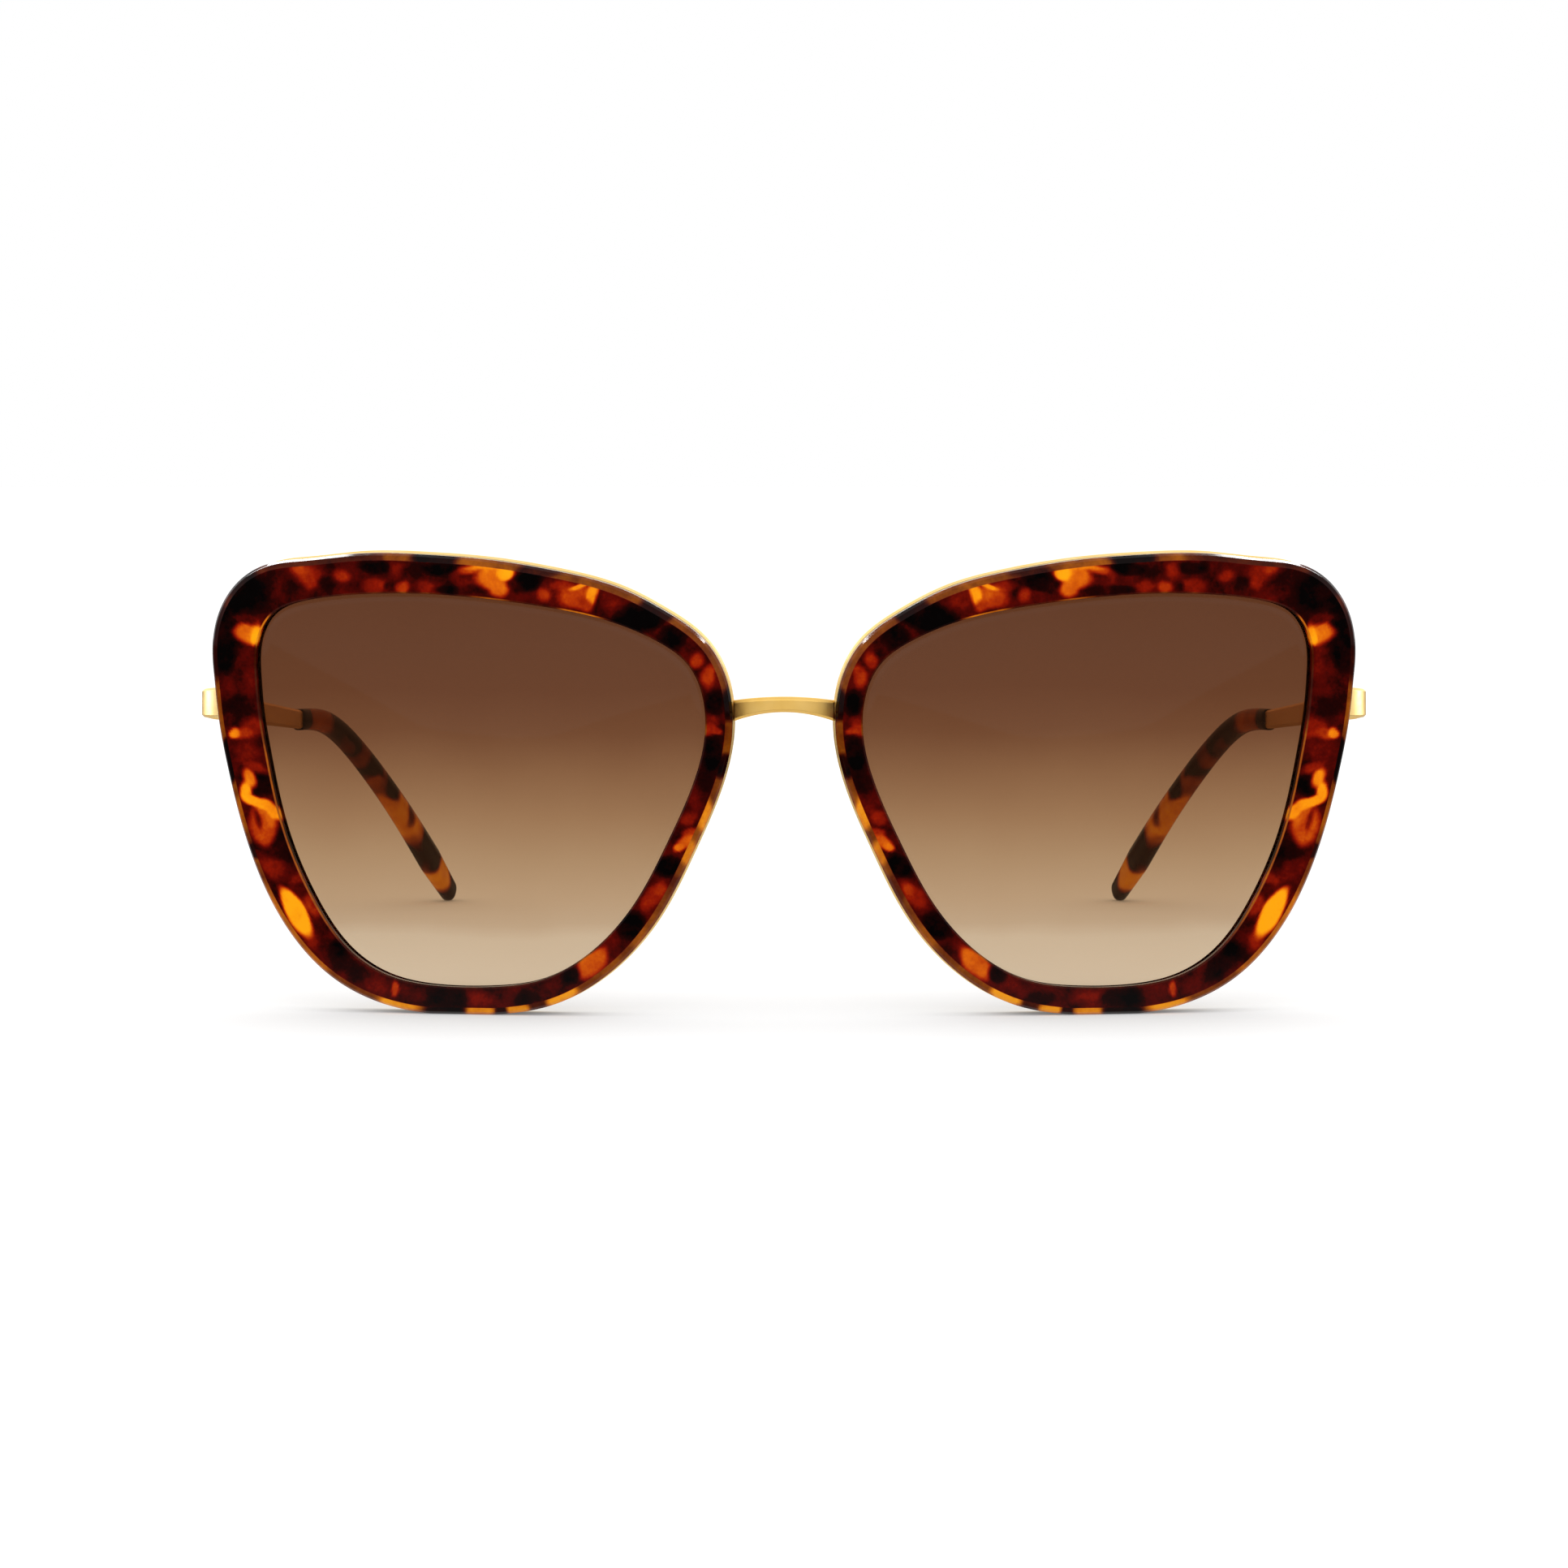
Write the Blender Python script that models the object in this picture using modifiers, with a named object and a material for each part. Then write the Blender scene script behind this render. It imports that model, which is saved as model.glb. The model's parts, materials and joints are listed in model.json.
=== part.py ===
"""Cat eye sunglasses: two acetate rims on gold eyewires, a gold bridge and two folding temples.

Metres, +Z up. The front faces -Y and the temples run back along +Y. The frame stands on the
bottoms of its rims and on the ends of its temple tips, at Z = 0.
"""

import math

import bmesh
import bpy
import numpy as np
from mathutils import Vector

MM = 0.001

# The front. Depths are measured back from its outer face, square to that face.
WRAP_RADIUS = 300 * MM       # the face follows an upright cylinder, which bows both sides back
FRONT_Y = -73.95 * MM        # the foremost line of the cylinder
RIM_STEPS = 60               # places round one rim
FINE_STEPS = 720             # the same where a piece takes only a stretch of the rim
LENS_CENTRE = (37 * MM, 28.5 * MM)

# One lens opening, from the hinge's height over the top to the nose and back under the lens:
# x, z and the width of the rim there, in millimetres.
OPENING = [
    (65.3, 37.6, 5.6),
    (65.65, 42.0, 5.7),
    (65.4, 46.4, 6.0),
    (63.6, 49.6, 6.0),
    (59.5, 51.3, 5.2),
    (53.0, 52.1, 5.05),
    (45.0, 52.25, 4.85),
    (36.6, 51.65, 4.8),
    (28.9, 50.6, 4.6),
    (21.5, 48.95, 4.25),
    (16.1, 46.75, 3.7),
    (12.0, 43.8, 3.5),
    (9.7, 36.5, 3.35),
    (11.0, 29.6, 3.35),
    (14.5, 21.5, 3.4),
    (18.5, 14.1, 3.5),
    (24.3, 7.7, 3.5),
    (30.0, 4.5, 3.45),
    (36.8, 3.5, 3.55),
    (43.5, 3.6, 3.65),
    (49.0, 4.7, 3.75),
    (53.6, 7.4, 4.25),
    (58.6, 14.1, 5.1),
    (62.2, 22.5, 5.25),
    (64.4, 32.0, 5.5),
]

RIM_DEPTH = 4.0 * MM
RIM_INNER_BEVEL = 0.2 * MM
RIM_OUTER_BEVEL = 0.9 * MM
RIM_BACK_BEVEL = 0.3 * MM
RIM_RELIEF = 0.7 * MM        # how far its inner side slopes away behind the lens
GROOVE_MIDDLE = 1.5 * MM     # depth of the lens groove's centre line
GROOVE_HALF_WIDTH = 0.6 * MM
GROOVE_REACH = 0.75 * MM

LENS_THICKNESS = 1.6 * MM
LENS_REACH = 0.5 * MM        # how far the lens's edge enters the groove
LENS_SHOULDER = -0.25 * MM   # where the bevel of its edge meets its faces
LENS_DOME = 1.2 * MM
LENS_RINGS = (0.3, 0.65)     # shares of the way from the lens's centre to its edge

EYEWIRE_WIDTH = 1.7 * MM
EYEWIRE_THICKNESS = 1.2 * MM
EYEWIRE_PROUD = 0.2 * MM     # how far it stands out past the rim
EYEWIRE_LIFT = 0.12 * MM     # it stays this far above the surface that the rims stand on
EYEWIRE_SPLIT = 2            # places left out where its ends meet at the lock

SEAM = 0.1 * MM              # gap between pieces that touch

# The bridge, a bar between the eyewires
BRIDGE_HALF_LENGTH = 5.9 * MM
BRIDGE_THICKNESS = 1.5 * MM
BRIDGE_BOW = 1.0 * MM        # how far its middle stands forward of its ends
BRIDGE_HEIGHTS = (1.9 * MM, 2.6 * MM)     # middle and ends
BRIDGE_LEVELS = (38.55 * MM, 37.7 * MM)   # middle and ends
BRIDGE_CHAMFER = 0.35 * MM
BRIDGE_STEPS = 9

# The nose pads, bonded to the backs of the rims between these heights
PAD_TOP = 33.5 * MM
PAD_BOTTOM = 18.5 * MM
PAD_DEPTH = 6.5 * MM
PAD_EDGE_DEPTH = 0.5 * MM    # what is left of its depth at its two ends
PAD_STEPS = 13
PAD_LENS_SIDE = 0.5 * MM     # where it begins, outward from the lens opening
PAD_NOSE_INSET = 0.3 * MM    # its nose side stands this far in from the rim's edge
PAD_NOSE_BEND = 0.25 * MM    # and this much further in where its back starts to round off
PAD_LENS_BEND = 0.2 * MM     # the same on its lens side
PAD_ROUNDING = 0.9 * MM      # the same at its rearmost face, on both sides
PAD_BEND_SHARE = 0.7         # share of its depth at which its back starts to round off

# The hinge. Its own frame has its origin on the pivot, Z along the pin and Y along the open temple.
PIVOT_X = 70.75 * MM
PIVOT_Z = 37.5 * MM
PIVOT_BEHIND_FACE = 21.0 * MM
TEMPLE_DROP = math.radians(5.2)
KNUCKLE_RADIUS = 1.3 * MM
KNUCKLE_BORE = 0.68 * MM
HINGE_HALF_HEIGHT = 1.75 * MM
MIDDLE_KNUCKLE = 0.6 * MM    # half the height of the temple's knuckle
LEAF_THICKNESS = 0.95 * MM
LEAF_START = 1.5 * MM
FRONT_LEAF_END = 3.9 * MM
TEMPLE_LEAF_END = 5.3 * MM
LEAF_TRIM = 0.06 * MM        # the leaves are this much lower than the knuckles
LEAF_OVERLAP = 0.2 * MM      # the knuckles' webs run this far into the leaves
PIN_RADIUS = 0.58 * MM
SCREW_HEAD_RADIUS = 1.05 * MM
SCREW_HEAD_HEIGHT = 0.45 * MM
SCREW_ROUNDING = 0.16 * MM   # chamfer of the head's edge and the tip's
SLOT_WIDTH = 0.28 * MM
SLOT_DEPTH = 0.22 * MM
ROUND_SIDES = 20
CHAMFER_SEGMENTS = 2
SHARP_ANGLE = math.radians(35)

# The metal bar that forms the end piece and the temple arm
BAR_THICKNESS = 1.3 * MM
BAR_CHAMFER = 0.3 * MM
BAR_INSIDE = KNUCKLE_RADIUS + SEAM          # its inner face, seen from the pivot
BAR_MIDDLE = BAR_INSIDE + BAR_THICKNESS / 2
BAR_HEIGHT = 3.5 * MM
END_PIECE_HEIGHT = 3.9 * MM                 # beside the rim
END_PIECE_START = -0.45 * MM
END_PIECE_FRONT = -6.15 * MM                # centre line of the part that crosses outwards
END_PIECE_CORNER = 1.9 * MM                 # radius of its corner, on the centre line
CORNER_STEPS = 6

# The rim lock: two blocks that close the eyewire, with a screw down through both
LOCK_WIDTH = 2.9 * MM
LOCK_LENGTH = 2.8 * MM
LOCK_HEIGHT = 1.75 * MM
LOCK_CENTRE = (-2.2 * MM, -5.35 * MM)
LOCK_BORE = 0.62 * MM
LOCK_PIN_RADIUS = 0.52 * MM
LOCK_HEAD_RADIUS = 0.95 * MM
LOCK_CHAMFER = 0.25 * MM
BORE_MARGIN = 1.0 * MM       # a bore's cutter sticks out this far

# The temple, in the hinge's frame: x, y and z of its centre line in millimetres
ARM_STRAIGHT = 6.0 * MM      # the arm runs straight beside the hinge, and then leans in
TIP_PATH = [
    (-2.1, 76.3, 0.0),
    (-4.9, 86.0, -0.1),
    (-8.0, 95.5, -3.2),
    (-11.6, 104.5, -8.6),
    (-14.8, 113.0, -14.2),
    (-17.7, 121.3, -19.9),
    (-20.0, 128.0, -24.42),
]
ARM_END_THICKNESS = 1.1 * MM
ARM_END_HEIGHT = 2.6 * MM
ARM_STEPS = 7
ARM_CHAMFER_SHARE = 0.25     # of the smaller side of its section
CORE_THICKNESS = 1.0 * MM    # the arm goes on inside the tip as a thin core
CORE_HEIGHT = 1.3 * MM
CORE_ENTRY = 0.35 * MM       # the arm's shoulder stops this far short of the tip
CORE_SHARE = 0.74            # share of the tip's length that the core fills
CORE_CLEARANCE = 0.2 * MM
TIP_STEPS = 20
TIP_SIDES = 12
TIP_ROUNDNESS = 2.5          # exponent of the tip's superelliptic section
# Share of the tip's length, its thickness and its height, in millimetres
TIP_SIZES = [(0.0, 2.3, 3.0), (0.15, 2.5, 3.2), (0.55, 2.7, 3.6), (0.86, 2.8, 4.4), (1.0, 2.3, 3.3)]
TIP_END = 3                  # rings that round off the tip's end
TIP_END_LENGTH = 1.5 * MM

ACETATE = ("tortoise_acetate", (0.16, 0.045, 0.010, 1.0), 0.12, 0.0)
GOLD = ("gold_plated_metal", (0.83, 0.62, 0.28, 1.0), 0.2, 1.0)
LENS = ("gradient_lens", (0.30, 0.17, 0.10, 1.0), 0.05, 0.0)

PARTS = bpy.data.collections.new("Cat eye sunglasses")
CUTTERS = bpy.data.collections.new("Cutters")


# ---------------------------------------------------------------- curves and sections

def spline(knots, count, closed=False):
    """Points spaced evenly along the smooth cubic curve through the knots."""
    knots = np.array(knots, dtype=float)
    last = len(knots) - 1
    span = np.linalg.norm(np.roll(knots, -1, axis=0) - knots, axis=1)
    if not closed:
        span = span[:-1]
    slopes = np.identity(len(knots))
    turns = np.zeros_like(knots)
    for i in range(len(knots)):
        if closed or 0 < i < last:
            before = span[i - 1]
            after = span[i % len(span)]
            following = (i + 1) % len(knots)
            slopes[i, i] = 2 * (before + after)
            slopes[i, i - 1] = before
            slopes[i, following] = after
            turns[i] = 6 * ((knots[following] - knots[i]) / after - (knots[i] - knots[i - 1]) / before)
    bends = np.linalg.solve(slopes, turns)
    starts = np.concatenate([[0], np.cumsum(span)])
    points = []
    for distance in np.linspace(0, starts[-1], count, endpoint=not closed):
        i = min(np.searchsorted(starts, distance, side="right") - 1, len(span) - 1)
        j = (i + 1) % len(knots)
        to_go = starts[i + 1] - distance
        gone = distance - starts[i]
        points.append(
            (bends[i] * to_go ** 3 + bends[j] * gone ** 3) / (6 * span[i])
            + (knots[i] / span[i] - bends[i] * span[i] / 6) * to_go
            + (knots[j] / span[i] - bends[j] * span[i] / 6) * gone
        )
    return np.array(points)


def on_front(x, z, depth):
    """The point at this depth behind the front's outer face, where that face has this x and z."""
    turn = math.asin(x / WRAP_RADIUS)
    radius = WRAP_RADIUS - depth
    return Vector((radius * math.sin(turn), FRONT_Y + WRAP_RADIUS - radius * math.cos(turn), z))


def round_the_opening(count):
    """Places round the left lens opening: edge point, outward direction and the rim's width."""
    rows = spline(OPENING, count, closed=True) * MM
    along = np.roll(rows, -1, axis=0) - np.roll(rows, 1, axis=0)
    places = []
    for row, step in zip(rows, along):
        outward = Vector((step[1], -step[0])).normalized()
        places.append((Vector(row[:2]), outward, row[2]))
    return places


def front_ring(place, section, lowest=0.0):
    """A section, in offsets outward from the opening and depths, set up at one place."""
    edge, outward, _ = place
    ring = []
    for offset, depth in section:
        x, z = edge + outward * offset
        ring.append(on_front(x, max(z, lowest), depth))
    return ring


def chamfered_rectangle(width, height, chamfer):
    """The corners of a rectangle with cut corners, about its centre."""
    x, z = width / 2, height / 2
    corners = []
    for side, level in ((1, 1), (-1, 1), (-1, -1), (1, -1)):
        cut = [(side * x, level * (z - chamfer)), (side * (x - chamfer), level * z)]
        corners += cut if side * level > 0 else cut[::-1]
    return corners


def rounded_section(width, height, sides=TIP_SIDES):
    """A superellipse: between an ellipse and a rectangle."""
    points = []
    for i in range(sides):
        angle = 2 * math.pi * (i + 0.5) / sides
        across, up = math.cos(angle), math.sin(angle)
        x = math.copysign(abs(across) ** (2 / TIP_ROUNDNESS), across) * width / 2
        z = math.copysign(abs(up) ** (2 / TIP_ROUNDNESS), up) * height / 2
        points.append((x, z))
    return points


def swept_rings(path, sections):
    """Sections set up square to a path, each with its first axis level across the path."""
    rings = []
    for i, (centre, section) in enumerate(zip(path, sections)):
        ahead = path[min(i + 1, len(path) - 1)] - path[max(i - 1, 0)]
        across = ahead.cross(Vector((0, 0, 1))).normalized()
        up = across.cross(ahead).normalized()
        rings.append([centre + across * x + up * z for x, z in section])
    return rings


# ---------------------------------------------------------------- solids

def loft(rings, closed=False):
    """A mesh skinned over rings of points. Its open ends get fans."""
    solid = bmesh.new()
    loops = [[solid.verts.new(point) for point in ring] for ring in rings]
    pairs = list(zip(loops, loops[1:]))
    if closed:
        pairs.append((loops[-1], loops[0]))
    for near, far in pairs:
        for i in range(len(near)):
            solid.faces.new((near[i - 1], near[i], far[i], far[i - 1]))
    if not closed:
        for loop in (loops[0], loops[-1]):
            middle = sum((vert.co for vert in loop), Vector()) / len(loop)
            hub = solid.verts.new(middle)
            for i in range(len(loop)):
                solid.faces.new((loop[i - 1], loop[i], hub))
    bmesh.ops.recalc_face_normals(solid, faces=solid.faces)
    return mesh_from(solid)


def mesh_from(solid):
    mesh = bpy.data.meshes.new("solid")
    solid.to_mesh(mesh)
    solid.free()
    return mesh


def box(low, high):
    """A block between two corners."""
    solid = bmesh.new()
    bmesh.ops.create_cube(solid, size=1)
    low, high = Vector(low), Vector(high)
    bmesh.ops.scale(solid, vec=high - low, verts=solid.verts)
    bmesh.ops.translate(solid, vec=(high + low) / 2, verts=solid.verts)
    return mesh_from(solid)


def rod(radius, low, high, at=(0, 0)):
    """An upright cylinder between two heights."""
    solid = bmesh.new()
    bmesh.ops.create_cone(
        solid, cap_ends=True, segments=ROUND_SIDES, radius1=radius, radius2=radius, depth=high - low
    )
    bmesh.ops.translate(solid, vec=(at[0], at[1], (high + low) / 2), verts=solid.verts)
    return mesh_from(solid)


def tool(mesh):
    """A helper object for a Boolean."""
    helper = bpy.data.objects.new("tool", mesh)
    helper.hide_render = True
    helper.display_type = "WIRE"
    CUTTERS.objects.link(helper)
    return helper


def combine(base, add=(), cut=(), chamfer=0.0):
    """The base mesh with others joined to it and cut from it, and its edges chamfered before the cuts."""
    work = bpy.data.objects.new("work", base)
    CUTTERS.objects.link(work)
    helpers = []
    for operation, meshes in (("UNION", add), ("DIFFERENCE", cut)):
        if operation == "DIFFERENCE" and chamfer:
            bevel = work.modifiers.new("chamfer", "BEVEL")
            bevel.width = chamfer
            bevel.segments = CHAMFER_SEGMENTS
        for mesh in meshes:
            helpers.append(tool(mesh))
            boolean = work.modifiers.new(operation, "BOOLEAN")
            boolean.operation = operation
            boolean.object = helpers[-1]
    graph = bpy.context.evaluated_depsgraph_get()
    graph.update()
    result = bpy.data.meshes.new_from_object(work.evaluated_get(graph))
    for helper in helpers + [work]:
        bpy.data.objects.remove(helper)
    return result


def screw(radius, low, high, head_radius, at=(0, 0)):
    """A slotted screw, pointing down, with its head resting at the upper height."""
    head_top = high + SCREW_HEAD_HEIGHT
    profile = [
        (0, head_top),
        (head_radius - SCREW_ROUNDING, head_top),
        (head_radius, head_top - SCREW_ROUNDING),
        (head_radius, high),
        (radius, high),
        (radius, low + SCREW_ROUNDING),
        (radius - SCREW_ROUNDING, low),
        (0, low),
    ]
    solid = bmesh.new()
    verts = [solid.verts.new((x, 0, z)) for x, z in profile]
    for upper, lower in zip(verts, verts[1:]):
        solid.edges.new((upper, lower))
    turned = bpy.data.objects.new("turned", mesh_from(solid))
    CUTTERS.objects.link(turned)
    turning = turned.modifiers.new("turn", "SCREW")
    turning.steps = ROUND_SIDES
    turning.render_steps = ROUND_SIDES
    turning.use_merge_vertices = True
    turning.merge_threshold = 0.000001
    graph = bpy.context.evaluated_depsgraph_get()
    graph.update()
    body = bpy.data.meshes.new_from_object(turned.evaluated_get(graph))
    bpy.data.objects.remove(turned)
    slot = box(
        (-2 * head_radius, -SLOT_WIDTH / 2, head_top - SLOT_DEPTH),
        (2 * head_radius, SLOT_WIDTH / 2, head_top + SLOT_DEPTH),
    )
    result = combine(body, cut=[slot])
    for vert in result.vertices:
        vert.co += Vector((at[0], at[1], 0))
    return result


# ---------------------------------------------------------------- the front's pieces

def rim():
    """The acetate rim: bevelled in front, with a V groove inside that holds the lens."""
    rings = []
    for place in round_the_opening(RIM_STEPS):
        width = place[2]
        slope = RIM_OUTER_BEVEL * (1 - math.sqrt(0.5))
        section = [
            (RIM_INNER_BEVEL, 0),
            (width - RIM_OUTER_BEVEL, 0),
            (width - slope, slope),
            (width, RIM_OUTER_BEVEL),
            (width, RIM_DEPTH - RIM_BACK_BEVEL),
            (width - RIM_BACK_BEVEL, RIM_DEPTH),
            (RIM_RELIEF, RIM_DEPTH),
            (0, GROOVE_MIDDLE + GROOVE_HALF_WIDTH),
            (GROOVE_REACH, GROOVE_MIDDLE),
            (0, GROOVE_MIDDLE - GROOVE_HALF_WIDTH),
            (0, RIM_INNER_BEVEL),
        ]
        rings.append(front_ring(place, section))
    return loft(rings, closed=True)


def eyewire():
    """The metal wire behind the rim. It is split beside the hinge, where the lock closes it."""
    places = round_the_opening(RIM_STEPS)
    front = RIM_DEPTH + SEAM
    back = front + EYEWIRE_THICKNESS
    rings = []
    for place in places[EYEWIRE_SPLIT // 2 : len(places) - EYEWIRE_SPLIT // 2 + 1]:
        outside = place[2] + EYEWIRE_PROUD
        inside = outside - EYEWIRE_WIDTH
        section = [(inside, front), (outside, front), (outside, back), (inside, back)]
        rings.append(front_ring(place, section, EYEWIRE_LIFT))
    return loft(rings)


def lens():
    """The lens: a shallow dome with a bevelled edge that stands in the rim's groove."""
    places = round_the_opening(RIM_STEPS)
    centre = Vector(LENS_CENTRE)

    def face(share, depth):
        ring = []
        for edge, outward, _ in places:
            x, z = centre.lerp(edge + outward * LENS_SHOULDER, share)
            ring.append(on_front(x, z, depth - LENS_DOME * (1 - share ** 2)))
        return ring

    front = GROOVE_MIDDLE - LENS_THICKNESS / 2
    back = GROOVE_MIDDLE + LENS_THICKNESS / 2
    edge_ring = [front_ring(place, [(LENS_REACH, GROOVE_MIDDLE)])[0] for place in places]
    rings = [face(share, front) for share in LENS_RINGS + (1,)]
    rings.append(edge_ring)
    rings += [face(share, back) for share in (1,) + LENS_RINGS[::-1]]
    return loft(rings)


def nose_pad():
    """An acetate pad bonded to the back of the rim, inside the eyewire, and swelling out behind it."""
    side = []
    for place in round_the_opening(FINE_STEPS):
        edge = place[0]
        if edge.x < LENS_CENTRE[0] and PAD_BOTTOM <= edge.y <= PAD_TOP:
            side.append(place)
    root = RIM_DEPTH + SEAM
    behind_wire = root + EYEWIRE_THICKNESS + 2 * SEAM
    rings = []
    for i in range(PAD_STEPS):
        place = side[round(i * (len(side) - 1) / (PAD_STEPS - 1))]
        width = place[2]
        swell = math.sqrt(math.sin(math.pi * (i + 0.5) / PAD_STEPS))
        depth = PAD_EDGE_DEPTH + (PAD_DEPTH - PAD_EDGE_DEPTH) * swell
        bend = behind_wire + PAD_BEND_SHARE * depth
        back = behind_wire + depth
        inside = PAD_LENS_SIDE
        beside_wire = width + EYEWIRE_PROUD - EYEWIRE_WIDTH - 2 * SEAM
        nose_side = width - PAD_NOSE_INSET
        section = [
            (inside, root),
            (beside_wire, root),
            (beside_wire, behind_wire),
            (nose_side, behind_wire),
            (nose_side - PAD_NOSE_BEND, bend),
            (nose_side - PAD_ROUNDING, back),
            (inside + PAD_ROUNDING, back),
            (inside + PAD_LENS_BEND, bend),
        ]
        rings.append(front_ring(place, section))
    return loft(rings)


def bridge():
    """The bar over the nose: bowed forwards, arched, and deepest at its ends."""
    middle_depth = RIM_DEPTH + SEAM + EYEWIRE_THICKNESS / 2
    rings = []
    for i in range(BRIDGE_STEPS):
        share = 2 * i / (BRIDGE_STEPS - 1) - 1
        blend = share * share
        height = BRIDGE_HEIGHTS[0] + (BRIDGE_HEIGHTS[1] - BRIDGE_HEIGHTS[0]) * blend
        level = BRIDGE_LEVELS[0] + (BRIDGE_LEVELS[1] - BRIDGE_LEVELS[0]) * blend
        y = FRONT_Y + middle_depth - BRIDGE_BOW * (1 - blend)
        ring = []
        for across, up in chamfered_rectangle(BRIDGE_THICKNESS, height, BRIDGE_CHAMFER):
            ring.append((share * BRIDGE_HALF_LENGTH, y + across, level + up))
        rings.append(ring)
    return loft(rings)


# ---------------------------------------------------------------- pieces in the hinge's frame

def end_piece():
    """The bar that comes out from behind the rim and turns back to the hinge."""
    corner = Vector((BAR_MIDDLE - END_PIECE_CORNER, END_PIECE_FRONT + END_PIECE_CORNER, 0))
    path = [Vector((END_PIECE_START, END_PIECE_FRONT, 0))]
    for i in range(CORNER_STEPS + 1):
        angle = -math.pi / 2 * (1 - i / CORNER_STEPS)
        path.append(corner + Vector((math.cos(angle), math.sin(angle), 0)) * END_PIECE_CORNER)
    path.append(Vector((BAR_MIDDLE, -SEAM / 2, 0)))
    sections = []
    for i in range(len(path)):
        height = END_PIECE_HEIGHT + (BAR_HEIGHT - END_PIECE_HEIGHT) * min(i / (CORNER_STEPS + 1), 1)
        sections.append(chamfered_rectangle(BAR_THICKNESS, height, BAR_CHAMFER))
    return loft(swept_rings(path, sections))


def lock_block(level):
    """One half of the rim lock: the upper block at level 1, the lower one at level -1."""
    x, y = LOCK_CENTRE
    near, far = sorted((level * SEAM, level * (SEAM + LOCK_HEIGHT)))
    low = (x - LOCK_WIDTH / 2, y - LOCK_LENGTH / 2, near)
    high = (x + LOCK_WIDTH / 2, y + LOCK_LENGTH / 2, far)
    bore = rod(LOCK_BORE, near - BORE_MARGIN, far + BORE_MARGIN, LOCK_CENTRE)
    return combine(box(low, high), cut=[bore], chamfer=LOCK_CHAMFER)


def lock_screw():
    top = LOCK_HEIGHT + 2 * SEAM
    return screw(LOCK_PIN_RADIUS, -top, top, LOCK_HEAD_RADIUS, LOCK_CENTRE)


def hinge_leaf(direction, reach, levels):
    """A plate along the bar, reaching back (1) or forwards (-1), with knuckles between these levels."""
    outside = KNUCKLE_RADIUS
    inside = outside - LEAF_THICKNESS
    half_height = HINGE_HALF_HEIGHT - LEAF_TRIM
    near, far = sorted((direction * LEAF_START, direction * reach))
    plate = box((inside, near, -half_height), (outside, far, half_height))
    joined = []
    for low, high in levels:
        joined.append(rod(KNUCKLE_RADIUS, low, high))
        near, far = sorted((0, direction * (LEAF_START + LEAF_OVERLAP)))
        web_outside = outside - LEAF_TRIM
        joined.append(box((LEAF_TRIM, near, low + LEAF_TRIM), (web_outside, far, high - LEAF_TRIM)))
    bore = rod(KNUCKLE_BORE, -HINGE_HALF_HEIGHT - BORE_MARGIN, HINGE_HALF_HEIGHT + BORE_MARGIN)
    return combine(plate, add=joined, cut=[bore])


def hinge_front_leaf():
    gap = MIDDLE_KNUCKLE + SEAM / 2
    return hinge_leaf(-1, FRONT_LEAF_END, [(-HINGE_HALF_HEIGHT, -gap), (gap, HINGE_HALF_HEIGHT)])


def hinge_temple_leaf():
    return hinge_leaf(1, TEMPLE_LEAF_END, [(-MIDDLE_KNUCKLE, MIDDLE_KNUCKLE)])


def hinge_screw():
    return screw(PIN_RADIUS, -HINGE_HALF_HEIGHT, HINGE_HALF_HEIGHT + SEAM / 2, SCREW_HEAD_RADIUS)


def tip_path(count):
    return [Vector(point) * MM for point in spline(TIP_PATH, count)]


def temple_arm():
    """The metal arm, which leans in from the hinge and goes on inside the tip as a thin core."""
    start = Vector((BAR_MIDDLE, SEAM / 2, 0))
    straight_end = Vector((BAR_MIDDLE, ARM_STRAIGHT, 0))
    tip = tip_path(TIP_STEPS)
    shoulder = tip[0] + (straight_end - tip[0]).normalized() * CORE_ENTRY
    path = [start]
    sizes = [(BAR_THICKNESS, BAR_HEIGHT)]
    for i in range(ARM_STEPS):
        share = i / (ARM_STEPS - 1)
        path.append(straight_end.lerp(shoulder, share))
        thickness = BAR_THICKNESS + (ARM_END_THICKNESS - BAR_THICKNESS) * share
        height = BAR_HEIGHT + (ARM_END_HEIGHT - BAR_HEIGHT) * share
        sizes.append((thickness, height))
    core = tip[: round(CORE_SHARE * TIP_STEPS)]
    path += core
    sizes += [(CORE_THICKNESS, CORE_HEIGHT)] * len(core)
    sections = [chamfered_rectangle(*size, min(size) * ARM_CHAMFER_SHARE) for size in sizes]
    return loft(swept_rings(path, sections))


def temple_tip():
    """The acetate tip, bored for the arm's core, and bent down and in behind the ear."""
    path = tip_path(TIP_STEPS)
    shares, thicknesses, heights = zip(*TIP_SIZES)
    sections = []
    for i in range(TIP_STEPS):
        share = i / (TIP_STEPS - 1)
        width = np.interp(share, shares, thicknesses) * MM
        height = np.interp(share, shares, heights) * MM
        sections.append(rounded_section(width, height))
    rings = swept_rings(path, sections)
    ahead = (path[-1] - path[-2]).normalized()
    for i in range(1, TIP_END + 1):
        angle = math.pi / 2 * i / (TIP_END + 0.5)
        centre = path[-1] + ahead * TIP_END_LENGTH * math.sin(angle)
        rings.append([centre + (point - path[-1]) * math.cos(angle) for point in rings[TIP_STEPS - 1]])
    solid = loft(rings)
    bored = path[: round(CORE_SHARE * TIP_STEPS) + 1]
    bored.insert(0, path[0] + (path[0] - path[1]))
    size = (CORE_THICKNESS + 2 * CORE_CLEARANCE, CORE_HEIGHT + 2 * CORE_CLEARANCE)
    section = chamfered_rectangle(*size, min(size) * ARM_CHAMFER_SHARE)
    bore = loft(swept_rings(bored, [section] * len(bored)))
    return combine(solid, cut=[bore])


# ---------------------------------------------------------------- putting it together

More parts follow.
